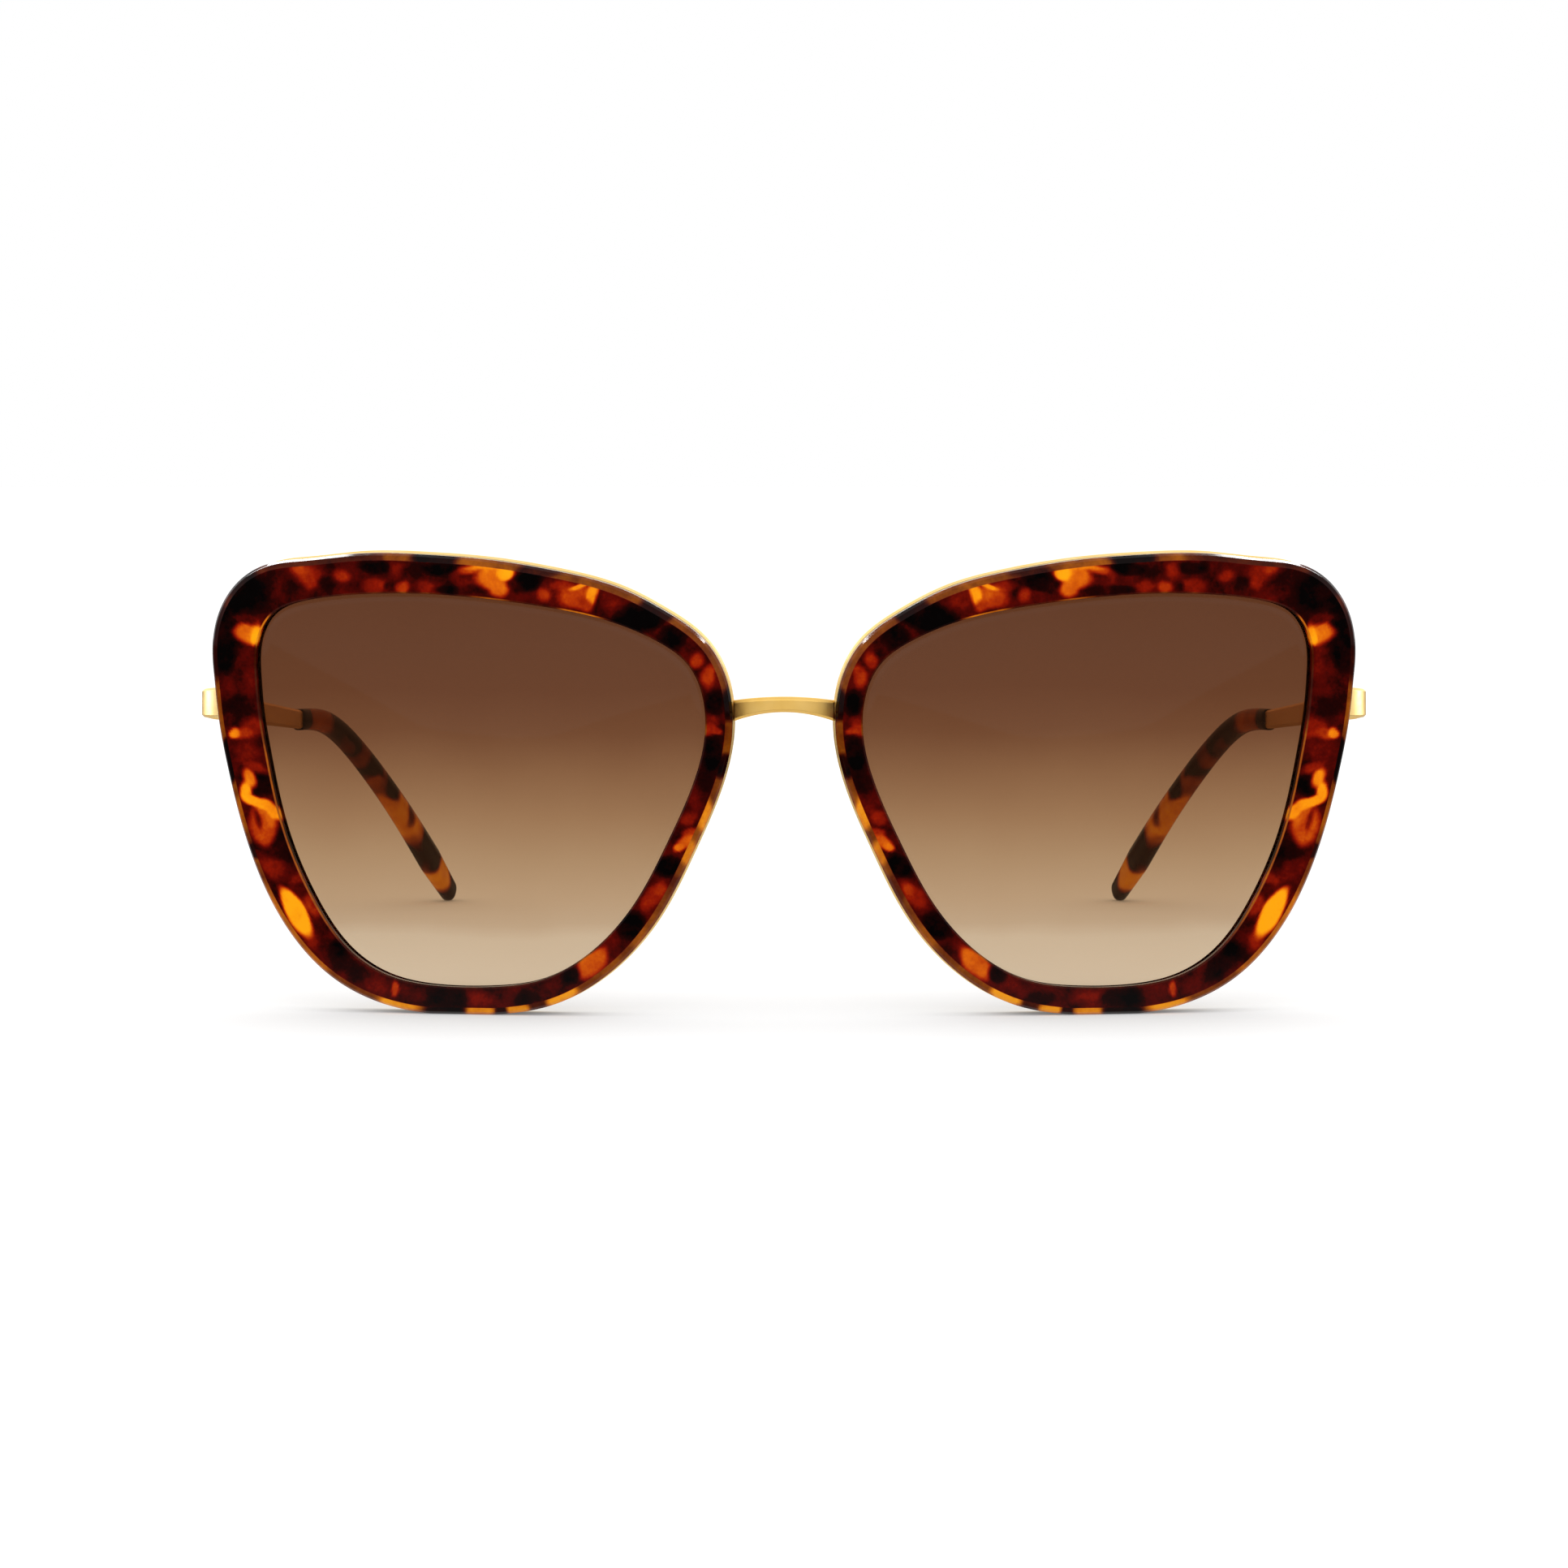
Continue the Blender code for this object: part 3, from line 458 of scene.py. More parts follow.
def spline(knots, count, closed=False):
    """Points spaced evenly along the smooth cubic curve through the knots."""
    knots = np.array(knots, dtype=float)
    last = len(knots) - 1
    span = np.linalg.norm(np.roll(knots, -1, axis=0) - knots, axis=1)
    if not closed:
        span = span[:-1]
    slopes = np.identity(len(knots))
    turns = np.zeros_like(knots)
    for i in range(len(knots)):
        if closed or 0 < i < last:
            before = span[i - 1]
            after = span[i % len(span)]
            following = (i + 1) % len(knots)
            slopes[i, i] = 2 * (before + after)
            slopes[i, i - 1] = before
            slopes[i, following] = after
            turns[i] = 6 * ((knots[following] - knots[i]) / after - (knots[i] - knots[i - 1]) / before)
    bends = np.linalg.solve(slopes, turns)
    starts = np.concatenate([[0], np.cumsum(span)])
    points = []
    for distance in np.linspace(0, starts[-1], count, endpoint=not closed):
        i = min(np.searchsorted(starts, distance, side="right") - 1, len(span) - 1)
        j = (i + 1) % len(knots)
        to_go = starts[i + 1] - distance
        gone = distance - starts[i]
        points.append(
            (bends[i] * to_go ** 3 + bends[j] * gone ** 3) / (6 * span[i])
            + (knots[i] / span[i] - bends[i] * span[i] / 6) * to_go
            + (knots[j] / span[i] - bends[j] * span[i] / 6) * gone
        )
    return np.array(points)


def on_front(x, z, depth):
    """The point at this depth behind the front's outer face, where that face has this x and z."""
    turn = math.asin(x / WRAP_RADIUS)
    radius = WRAP_RADIUS - depth
    return Vector((radius * math.sin(turn), FRONT_Y + WRAP_RADIUS - radius * math.cos(turn), z))


def round_the_opening(count):
    """Places round the left lens opening: edge point, outward direction and the rim's width."""
    rows = spline(OPENING, count, closed=True) * MM
    along = np.roll(rows, -1, axis=0) - np.roll(rows, 1, axis=0)
    places = []
    for row, step in zip(rows, along):
        outward = Vector((step[1], -step[0])).normalized()
        places.append((Vector(row[:2]), outward, row[2]))
    return places


def front_ring(place, section):
    """A section, in offsets outward from the opening and depths, set up at one place."""
    edge, outward, _ = place
    ring = []
    for offset, depth in section:
        x, z = edge + outward * offset
        ring.append(on_front(x, z, depth))
    return ring


def reach_above(place, reach, lowest):
    """How far outward a section may reach here, up to this much, without passing below a level."""
    edge, outward, _ = place
    if outward.y >= 0:
        return reach
    return min(reach, (edge.y - lowest) / -outward.y)


def rounded(corners, steps=4, hold=CORNER_HOLD):
    """A polygon of (x, y, radius) corners turned into arcs. Points beside each arc hold the flats flat."""
    points = []
    for i, (x, y, radius) in enumerate(corners):
        here = Vector((x, y))
        if not radius:
            points.append(here)
            continue
        before = (Vector(corners[i - 1][:2]) - here).normalized()
        after = (Vector(corners[(i + 1) % len(corners)][:2]) - here).normalized()
        half_angle = before.angle(after) / 2
        reach = radius / math.tan(half_angle)
        centre = here + (before + after).normalized() * (radius / math.sin(half_angle))
        spoke = here + before * reach - centre
        turn = math.copysign(math.pi - 2 * half_angle, before.cross(after))
        points.append(here + before * (reach + hold))
        for step in range(steps + 1):
            angle = -turn * step / steps
            points.append(centre + Matrix.Rotation(angle, 2) @ spoke)
        points.append(here + after * (reach + hold))
    return points


def rounded_bar(width, height, chamfer, rounding):
    """A rectangle with cut and rounded corners, about its centre."""
    x, z = width / 2, height / 2
    corners = []
    for side, level in ((1, 1), (-1, 1), (-1, -1), (1, -1)):
        cut = [(side * x, level * (z - chamfer)), (side * (x - chamfer), level * z)]
        corners += cut if side * level > 0 else cut[::-1]
    return rounded([(*corner, rounding) for corner in corners], steps=3)


def superellipse(width, height, sides=TIP_SIDES):
    """A section between an ellipse and a rectangle."""
    points = []
    for i in range(sides):
        angle = 2 * math.pi * (i + 0.5) / sides
        across, up = math.cos(angle), math.sin(angle)
        x = math.copysign(abs(across) ** (2 / TIP_ROUNDNESS), across) * width / 2
        z = math.copysign(abs(up) ** (2 / TIP_ROUNDNESS), up) * height / 2
        points.append((x, z))
    return points


def swept_rings(path, sections):
    """Sections set up square to a path, each with its first axis level across the path."""
    rings = []
    for i, (centre, section) in enumerate(zip(path, sections)):
        ahead = path[min(i + 1, len(path) - 1)] - path[max(i - 1, 0)]
        across = ahead.cross(Vector((0, 0, 1))).normalized()
        up = across.cross(ahead).normalized()
        rings.append([centre + across * x + up * z for x, z in section])
    return rings


def closing_rings(ring, outward, length):
    """Rings that round off the end of a sweep, beyond its last ring."""
    middle = sum(ring, Vector()) / len(ring)
    rings = []
    for i in range(1, END_STEPS + 1):
        angle = math.pi / 2 * i / (END_STEPS + 0.5)
        centre = middle + outward * length * math.sin(angle)
        rings.append([centre + (point - middle) * math.cos(angle) for point in ring])
    return rings


# ---------------------------------------------------------------- meshes

def loft(name, rings, closed=False):
    """A smooth mesh skinned over rings of points. Its open ends get fans."""
    count = len(rings[0])
    points = [point for ring in rings for point in ring]
    spans = len(rings) if closed else len(rings) - 1
    faces = []
    for near in range(spans):
        far = (near + 1) % len(rings)
        for i in range(count):
            j = (i + 1) % count
            faces.append((near * count + i, near * count + j, far * count + j, far * count + i))
    if not closed:
        for number in (0, len(rings) - 1):
            hub = len(points)
            points.append(sum(rings[number], Vector()) / count)
            for i in range(count):
                faces.append((number * count + i, number * count + (i + 1) % count, hub))
    mesh = bpy.data.meshes.new(name)
    mesh.from_pydata(points, [], faces)
    solid = bmesh.new()
    solid.from_mesh(mesh)
    bmesh.ops.recalc_face_normals(solid, faces=solid.faces)
    solid.to_mesh(mesh)
    solid.free()
    mesh.shade_smooth()
    return mesh


def to_world(mesh):
    """Moves a mesh from the left hinge's frame to the row frame."""
    mesh.transform(Matrix.Translation(PIVOT) @ Matrix.Rotation(-TEMPLE_DROP, 4, "X"))
    return mesh


def write_value(mesh, name, values):
    """A number for each vertex, which the material reads by this name."""
    layer = mesh.attributes.new(name, "FLOAT", "POINT")
    layer.data.foreach_set("value", np.resize(values, len(mesh.vertices)).astype(np.float32))


def mirrored(mesh):
    """The mesh for the other side."""
    other = mesh.copy()
    other.name = mesh.name.replace("left", "right")
    other.transform(Matrix.Scale(-1, 4, Vector((1, 0, 0))))
    other.flip_normals()
    return other


def add_piece(mesh, finish, slot, body, *nodes):
    """Puts a mesh in the scene as a piece that stands for these CAD nodes and moves with a body."""
    piece = bpy.data.objects.new(mesh.name, mesh)
    bpy.context.scene.collection.objects.link(piece)
    mesh.materials.clear()
    mesh.materials.append(finish)
    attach(piece, body)
    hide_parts(*nodes)


def add_pair(mesh, finish, slot, body, node):
    """The same piece on both sides. Word "left" in the names becomes "right"."""
    other = mirrored(mesh)
    add_piece(mesh, finish, slot, body, node)
    add_piece(other, finish, slot, body.replace("left", "right"), node.replace("left", "right"))


# ---------------------------------------------------------------- tones of the shell

def smooth_step(values):
    share = np.clip(values, 0, 1)
    return share * share * (3 - 2 * share)


def shifted(points):
    """Distance from the middle and height of each point, in millimetres, shifted by smooth noise."""
    places = np.empty((len(points), 2))
    for i, point in enumerate(points):
        push = noise.noise_vector(Vector((abs(point.x), point.y / 2, point.z)) / WARP_SIZE) * WARP
        places[i] = (abs(point.x) + push.x, point.z + push.z)
    return places / MM


def patch_tones(places, ground, patches):
    """Tone at each place, from patches laid over each other on a ground."""
    tones = np.resize(ground, len(places)).astype(float)
    for x, z, length, width, turn, tone, soft in patches:
        angle = math.radians(turn)
        across, up = places[:, 0] - x, places[:, 1] - z
        u = (across * math.cos(angle) + up * math.sin(angle)) / length
        v = (up * math.cos(angle) - across * math.sin(angle)) / width
        inside = smooth_step((1 + soft - np.hypot(u, v)) / (2 * soft))
        tones += (tone - tones) * inside
    return tones


# ---------------------------------------------------------------- the front's pieces

def rim():
    """The acetate rim, bevelled in front, with tones for its face, its bevel and its lip. The bevel and the
    lip carry painted light: lighter tones for light shining through them.
    """
    rings = []
    marks = []
    for place in round_the_opening(RIM_STEPS):
        width = reach_above(place, place[2], 0)
        start, end = RIM_INNER_BEVEL, width - RIM_OUTER_BEVEL
        corners = [(start, 0, RIM_LIP_ROUNDING)]
        for i in range(1, FACE_STEPS):
            corners.append((start + (end - start) * i / FACE_STEPS, 0, 0))
        corners += [
            (end, 0, RIM_FACE_ROUNDING),
            (width - RIM_BEVEL_KNEE[0], RIM_BEVEL_KNEE[1], RIM_KNEE_ROUNDING),
            (width, RIM_OUTER_BEVEL, RIM_SIDE_ROUNDING),
            (width, RIM_DEPTH - RIM_BACK_BEVEL, RIM_SIDE_ROUNDING),
            (width - RIM_BACK_BEVEL, RIM_DEPTH, RIM_SIDE_ROUNDING),
            (RIM_RELIEF, RIM_DEPTH, RIM_SIDE_ROUNDING),
            (0, GROOVE_MIDDLE + GROOVE_HALF_WIDTH, GROOVE_MOUTH_ROUNDING),
            (GROOVE_REACH, GROOVE_MIDDLE, GROOVE_ROUNDING),
            (0, GROOVE_MIDDLE - GROOVE_HALF_WIDTH, GROOVE_MOUTH_ROUNDING),
            (0, RIM_INNER_BEVEL, RIM_LIP_ROUNDING),
        ]
        section = rounded(corners)
        rings.append(front_ring(place, section))
        for offset, depth in section:
            marks.append((offset, depth, width))
    mesh = loft("left_shell_rim", rings, closed=True)
    offset, depth, width = np.array(marks).T / MM
    bevel = RIM_OUTER_BEVEL / MM
    # The bevel and the lip get lighter tones and colours: painted light shining through the slim shell
    # there.
    on_bevel = smooth_step((offset - width + bevel) / TONE_BLEND + 0.5)
    on_bevel *= smooth_step((bevel - depth) / SIDE_BLEND + 0.5)
    narrow = RIM_INNER_BEVEL / MM
    on_lip = smooth_step((narrow - offset) / TONE_BLEND + 0.5)
    on_lip *= smooth_step((narrow - depth) / TONE_BLEND + 0.5)
    places = shifted([vertex.co for vertex in mesh.vertices])
    face = patch_tones(places, FACE_GROUND, FACE_PATCHES)
    edge = patch_tones(places, BEVEL_LIT_THROUGH_GROUND, BEVEL_PATCHES)
    edge = 0.5 + BEVEL_CONTRAST * (edge - 0.5)
    lip = patch_tones(places, face + LIP_LIT_THROUGH_TONE, LIP_PATCHES)
    tones = face + (edge - face) * on_bevel + (lip - face) * on_lip
    write_value(mesh, "tone", tones)
    write_value(mesh, "thin", on_bevel + on_lip)
    return mesh


def eyewire():
    """The gold wire behind the rim, with a slit beside the hinge where the lock closes it."""
    front = RIM_DEPTH + SEAM
    back = front + EYEWIRE_THICKNESS
    rings = []
    for place in round_the_opening(RIM_STEPS):
        edge = place[0]
        if edge.x > LENS_CENTRE.x and abs(edge.y - PIVOT.z) < 2 * EYEWIRE_GAP:
            continue
        inside = place[2] + EYEWIRE_PROUD - EYEWIRE_WIDTH
        outside = reach_above(place, inside + EYEWIRE_WIDTH, EYEWIRE_LIFT)
        corners = [(inside, front), (outside, front), (outside, back), (inside, back)]
        section = rounded([(*corner, EYEWIRE_ROUNDING) for corner in corners], steps=5)
        rings.append(front_ring(place, section))
    return loft("left_gold_eyewire", rings)


def lens():
    """The lens: a shallow dome with a bevelled edge that stands in the rim's groove."""
    places = round_the_opening(LENS_STEPS)

    def face(share, depth):
        ring = []
        for edge, outward, _ in places:
            x, z = LENS_CENTRE.lerp(edge + outward * LENS_SHOULDER, share)
            ring.append(on_front(x, z, depth - LENS_DOME * (1 - share ** 2)))
        return ring

    front = GROOVE_MIDDLE - LENS_THICKNESS / 2
    back = GROOVE_MIDDLE + LENS_THICKNESS / 2
    shares = [(i + 1) / LENS_RINGS for i in range(LENS_RINGS)]
    rings = [face(share, front) for share in shares]
    rings.append([front_ring(place, [(LENS_REACH, GROOVE_MIDDLE)])[0] for place in places])
    rings += [face(share, back) for share in shares[::-1]]
    return loft("left_tinted_lens", rings)


def nose_pad():
    """The pad bonded to the back of the rim, rounded towards the nose."""
    side = []
    for place in round_the_opening(4 * RIM_STEPS):
        edge = place[0]
        if edge.x < LENS_CENTRE.x and PAD_BOTTOM <= edge.y <= PAD_TOP:
            side.append(place)
    root = RIM_DEPTH + SEAM
    behind_wire = root + EYEWIRE_THICKNESS + 2 * SEAM
    rings = []
    for i in range(PAD_STEPS):
        place = side[round(i * (len(side) - 1) / (PAD_STEPS - 1))]
        width = place[2]
        swell = math.sqrt(math.sin(math.pi * (i + 0.5) / PAD_STEPS))
        depth = PAD_EDGE_DEPTH + (PAD_DEPTH - PAD_EDGE_DEPTH) * swell
        bend = behind_wire + PAD_BEND_SHARE * depth
        back = behind_wire + depth
        beside_wire = width + EYEWIRE_PROUD - EYEWIRE_WIDTH - 2 * SEAM
        nose_side = width - PAD_NOSE_INSET
        soft = min(PAD_SOFTNESS, PAD_SOFT_SHARE * depth)
        corners = [
            (PAD_LENS_SIDE, root, PAD_ROOT_ROUNDING),
            (beside_wire, root, PAD_ROOT_ROUNDING),
            (beside_wire, behind_wire, PAD_ROOT_ROUNDING),
            (nose_side, behind_wire, PAD_WIRE_ROUNDING),
            (nose_side - PAD_NOSE_BEND, bend, PAD_BEND_SOFTNESS * soft),
            (nose_side - PAD_ROUNDING, back, soft),
            (PAD_LENS_SIDE + PAD_ROUNDING, back, soft),
            (PAD_LENS_SIDE + PAD_LENS_BEND, bend, PAD_BEND_SOFTNESS * soft),
        ]
        rings.append(front_ring(place, rounded(corners, hold=PAD_CORNER_HOLD)))
    mesh = loft("left_shell_nose_pad", rings)
    places = shifted([vertex.co for vertex in mesh.vertices])
    write_value(mesh, "tone", patch_tones(places, FACE_GROUND, FACE_PATCHES))
    write_value(mesh, "thin", [0.0])
    return mesh


def bridge():
    """The bar over the nose: bowed forwards, arched, and deepest at its ends."""
    middle_depth = RIM_DEPTH + SEAM + EYEWIRE_THICKNESS / 2
    rings = []
    for i in range(BRIDGE_STEPS):
        share = 2 * i / (BRIDGE_STEPS - 1) - 1
        blend = share * share
        height = BRIDGE_HEIGHTS[0] + (BRIDGE_HEIGHTS[1] - BRIDGE_HEIGHTS[0]) * blend
        level = BRIDGE_LEVELS[0] + (BRIDGE_LEVELS[1] - BRIDGE_LEVELS[0]) * blend
        y = FRONT_Y + middle_depth - BRIDGE_BOW * (1 - blend)
        ring = []
        for across, up in rounded_bar(BRIDGE_THICKNESS, height, BRIDGE_CHAMFER, BRIDGE_ROUNDING):
            ring.append(Vector((share * BRIDGE_HALF_LENGTH, y + across, level + up)))
        rings.append(ring)
    return loft("gold_bridge", rings)


# ---------------------------------------------------------------- the temples' pieces, in the hinge's frame

def end_piece():
    """The bar that comes out from behind the rim and turns back to the hinge."""
    corner = Vector((BAR_MIDDLE - END_PIECE_CORNER, END_PIECE_FRONT + END_PIECE_CORNER, 0))
    path = [Vector((END_PIECE_START, END_PIECE_FRONT, 0))]
    for i in range(CORNER_STEPS + 1):
        angle = -math.pi / 2 * (1 - i / CORNER_STEPS)
        path.append(corner + Vector((math.cos(angle), math.sin(angle), 0)) * END_PIECE_CORNER)
    path.append(Vector((BAR_MIDDLE, -SEAM / 2, 0)))
    sections = []
    for i in range(len(path)):
        height = END_PIECE_HEIGHT + (BAR_HEIGHT - END_PIECE_HEIGHT) * min(i / (CORNER_STEPS + 1), 1)
        sections.append(rounded_bar(BAR_THICKNESS, height, BAR_CHAMFER, BAR_ROUNDING))
    return to_world(loft("left_gold_end_piece", swept_rings(path, sections)))


def tip_path(count):
    return [Vector(point) * MM for point in spline(TIP_PATH, count)]


def temple_arm():
    """The metal arm, from the hinge to its shoulder at the tip."""
    start = Vector((BAR_MIDDLE, SEAM / 2, 0))
    straight_end = Vector((BAR_MIDDLE, ARM_STRAIGHT, 0))
    tip = tip_path(TIP_STEPS)
    shoulder = tip[0] + (tip[1] - tip[0]) * 0.5
    path = [start]
    sizes = [(BAR_THICKNESS, BAR_HEIGHT)]
    for i in range(ARM_STEPS):
        share = i / (ARM_STEPS - 1)
        path.append(straight_end.lerp(shoulder, share))
        thickness = BAR_THICKNESS + (ARM_END_THICKNESS - BAR_THICKNESS) * share
        height = BAR_HEIGHT + (ARM_END_HEIGHT - BAR_HEIGHT) * share
        sizes.append((thickness, height))
    sections = [rounded_bar(*size, BAR_CHAMFER, BAR_ROUNDING) for size in sizes]
    return to_world(loft("left_gold_arm", swept_rings(path, sections)))


def temple_tip():
    """The acetate tip, bent down and in behind the ear, with patches of tone along it."""
    path = tip_path(TIP_STEPS)
    shares, thicknesses, heights = zip(*TIP_SIZES)
    sections = []
    for i in range(TIP_STEPS):
        share = i / (TIP_STEPS - 1)
        width = np.interp(share, shares, thicknesses) * MM
        height = np.interp(share, shares, heights) * MM
        sections.append(superellipse(width, height))
    rings = swept_rings(path, sections)
    begin = closing_rings(rings[0], (path[0] - path[1]).normalized(), TIP_START_LENGTH)[::-1]
    end = closing_rings(rings[-1], (path[-1] - path[-2]).normalized(), TIP_END_LENGTH)
    mesh = loft("left_shell_tip", begin + rings + end)
    count = len(mesh.vertices)
    shares = np.clip((np.arange(count) // TIP_SIDES - END_STEPS) / (TIP_STEPS - 1), 0, 1)
    shares[-2:] = (0, 1)
    lengths = sum((path[i + 1] - path[i]).length for i in range(TIP_STEPS - 1)) / MM
    over = np.sin(2 * math.pi * (np.arange(count) % TIP_SIDES + 0.5) / TIP_SIDES)
    over[-2:] = 0
    places = np.stack([shares * lengths, over], axis=1)
    for i, vertex in enumerate(mesh.vertices):
        push = noise.noise_vector(vertex.co / WARP_SIZE)
        places[i] += (TIP_WARP * push.x, TIP_WARP * push.z / 2)
    patches = []
    for along, length, up, height, tone, soft in TIP_PATCHES:
        patches.append((along, up, length, height, 0, tone, soft))
    write_value(mesh, "tone", patch_tones(places, TIP_GROUND, patches))
    write_value(mesh, "thin", [TIP_LIT_THROUGH_SHARE])
    return to_world(mesh)


# ---------------------------------------------------------------- materials

def linear(colour):
    """An sRGB colour, 0 to 255, as Blender's linear one."""
    shares = [channel / 255 for channel in colour]
    return (*[c / 12.92 if c <= 0.04045 else ((c + 0.055) / 1.055) ** 2.4 for c in shares], 1.0)


class Nodes:
    """A material's node tree, with short calls to add nodes and link them."""

    def __init__(self, name):
        self.material = bpy.data.materials.new(name)
        self.material.use_nodes = True
        self.tree = self.material.node_tree
        self.tree.nodes.clear()

    def add(self, kind, settings=None, **inputs):
        node = self.tree.nodes.new(kind)
        for key, value in (settings or {}).items():
            setattr(node, key, value)
        for key, value in inputs.items():
            self.feed(node.inputs[key.replace("_", " ")], value)
        return node

    def feed(self, socket, value):
        if isinstance(value, bpy.types.NodeSocket):
            self.tree.links.new(value, socket)
        else:
            socket.default_value = value

    def maths(self, operation, *values):
        node = self.tree.nodes.new("ShaderNodeMath")
        node.operation = operation
        for socket, value in zip(node.inputs, values):
            self.feed(socket, value)
        return node.outputs[0]

    def ramp(self, value, stops):
        node = self.tree.nodes.new("ShaderNodeValToRGB")
        self.feed(node.inputs[0], value)
        elements = node.color_ramp.elements
        while len(elements) < len(stops):
            elements.new(1.0)
        for element, (position, colour) in zip(elements, stops):
            element.position = position
            element.color = colour
        return node.outputs[0]

    def mix(self, share, first, second):
        """Mixes two colours, whose sockets come after those for numbers and vectors."""
        node = self.tree.nodes.new("ShaderNodeMix")
        node.data_type = "RGBA"
        self.feed(node.inputs[0], share)
        self.feed(node.inputs[6], first)
        self.feed(node.inputs[7], second)
        return node.outputs[2]

    def noise(self, scale, detail=2.0, stretch=None):
        """Noise in the piece's own coordinates, at this many features a metre."""
        vector = self.add("ShaderNodeTexCoord").outputs["Object"]
        if stretch:
            vector = self.add("ShaderNodeMapping", Vector=vector, Scale=stretch).outputs[0]
        node = self.add("ShaderNodeTexNoise", Vector=vector, Scale=scale, Detail=detail)
        return node.outputs["Fac"]

    def spread(self, value, low, high):
        """Stretches a noise's middle range to these limits."""
        node = self.tree.nodes.new("ShaderNodeMapRange")
        self.feed(node.inputs["Value"], value)
        node.inputs["From Min"].default_value, node.inputs["From Max"].default_value = NOISE_MIDDLE
        node.inputs["To Min"].default_value = low
        node.inputs["To Max"].default_value = high
        return node.outputs[0]

    def finish(self, shader):
        output = self.tree.nodes.new("ShaderNodeOutputMaterial")
        self.tree.links.new(shader, output.inputs["Surface"])
        return self.material


def shell_material():
    """Polished tortoise shell acetate, coloured by the tones its pieces carry. Where a piece is marked as
    lit through, lighter edge colours paint the light shining through the slim shell.
    """
    nodes = Nodes("tortoise_shell")
    tone = nodes.add("ShaderNodeAttribute", {"attribute_name": "tone"}).outputs["Fac"]
    thin = nodes.add("ShaderNodeAttribute", {"attribute_name": "thin"}).outputs["Fac"]
    clouds = nodes.spread(nodes.noise(SHELL_CLOUD_SCALE, 2.0), -SHELL_CLOUDS, SHELL_CLOUDS)
    grain = nodes.spread(nodes.noise(SHELL_GRAIN_SCALE, 2.0), -SHELL_GRAIN, SHELL_GRAIN)
    tone = nodes.maths("ADD", nodes.maths("ADD", tone, clouds), grain)
    shell = nodes.ramp(tone, [(position, linear(colour)) for position, colour in SHELL_COLOURS])
    edge = nodes.ramp(tone, [(position, linear(colour)) for position, colour in LIT_THROUGH_EDGE_COLOURS])
    # Painted light: the slim edges take the lighter colours of light shining through them.
    colour = nodes.mix(thin, shell, edge)
    roughness = nodes.spread(nodes.noise(SHELL_POLISH_SCALE, 3.0), *SHELL_ROUGHNESS)
    waves = nodes.noise(SHELL_WAVE_SCALE, 1.0)
    bump = nodes.add("ShaderNodeBump", Strength=0.06, Distance=0.2 * MM, Height=waves).outputs[0]
    shader = nodes.add("ShaderNodeBsdfPrincipled", Base_Color=colour, Roughness=roughness, Normal=bump)
    shader.inputs["Specular IOR Level"].default_value = SHELL_SPECULAR
    return nodes.finish(shader.outputs[0])


def gold_material(name, gold, pale):
    """Satin gold plate: fine speckle, with faint differences of colour and polish."""
    nodes = Nodes(name)
    clouds = nodes.spread(nodes.noise(GOLD_CLOUD_SCALE, 3.0), 0.0, 1.0)
    colour = nodes.mix(clouds, linear(gold), linear(pale))
    speckle = nodes.noise(GOLD_SPECKLE_SCALE, 2.0)
    roughness = nodes.spread(nodes.noise(GOLD_POLISH_SCALE, 4.0), *GOLD_ROUGHNESS)
    bump = nodes.add("ShaderNodeBump", Strength=0.12, Distance=0.03 * MM, Height=speckle).outputs[0]
    shader = nodes.add("ShaderNodeBsdfPrincipled", Base_Color=colour, Roughness=roughness, Normal=bump)
    shader.inputs["Metallic"].default_value = 1.0
    return nodes.finish(shader.outputs[0])


def lens_material():
    """Brown tinted lens, darker at the top, with painted light low down where the pale floor shows through.
    Each of its two faces takes half of the tint.
    """
    nodes = Nodes("gradient_tint")
    place = nodes.add("ShaderNodeTexCoord").outputs["Object"]
    height = nodes.add("ShaderNodeSeparateXYZ", Vector=place).outputs["Z"]
    cloud = nodes.spread(nodes.noise(LENS_CLOUD_SCALE, 2.0), -LENS_CLOUDS, LENS_CLOUDS)
    low, high = LENS_TINT_AND_FLOOR_LIGHT[0][0], LENS_TINT_AND_FLOOR_LIGHT[-1][0]
    share = nodes.maths("DIVIDE", nodes.maths("SUBTRACT", height, low * MM), (high - low) * MM)
    share = nodes.maths("ADD", share, cloud)
    stops = []
    for level, colour in LENS_TINT_AND_FLOOR_LIGHT:
        passed = []
        for total, own in zip(linear(colour), LENS_BODY_COLOUR):
            clear = max(total - 2 * LENS_BODY * own, 0) / (1 - 2 * LENS_BODY)
            passed.append(math.sqrt(clear / LENS_BACKDROP))
        stops.append(((level - low) / (high - low), (*passed[:3], 1.0)))
    tint = nodes.ramp(share, stops)
    through = nodes.add("ShaderNodeBsdfTransparent", Color=tint).outputs[0]
    body = nodes.add("ShaderNodeBsdfDiffuse", Color=LENS_BODY_COLOUR).outputs[0]
    stained = nodes.tree.nodes.new("ShaderNodeMixShader")
    nodes.feed(stained.inputs[0], LENS_BODY)
    nodes.feed(stained.inputs[1], through)
    nodes.feed(stained.inputs[2], body)
    shine = nodes.add("ShaderNodeBsdfGlossy", Roughness=LENS_ROUGHNESS).outputs[0]
    share = nodes.add("ShaderNodeFresnel", IOR=LENS_COATING).outputs[0]
    polished = nodes.tree.nodes.new("ShaderNodeMixShader")
    nodes.feed(polished.inputs[0], share)
    nodes.feed(polished.inputs[1], stained.outputs[0])
    nodes.feed(polished.inputs[2], shine)
    return nodes.finish(polished.outputs[0])


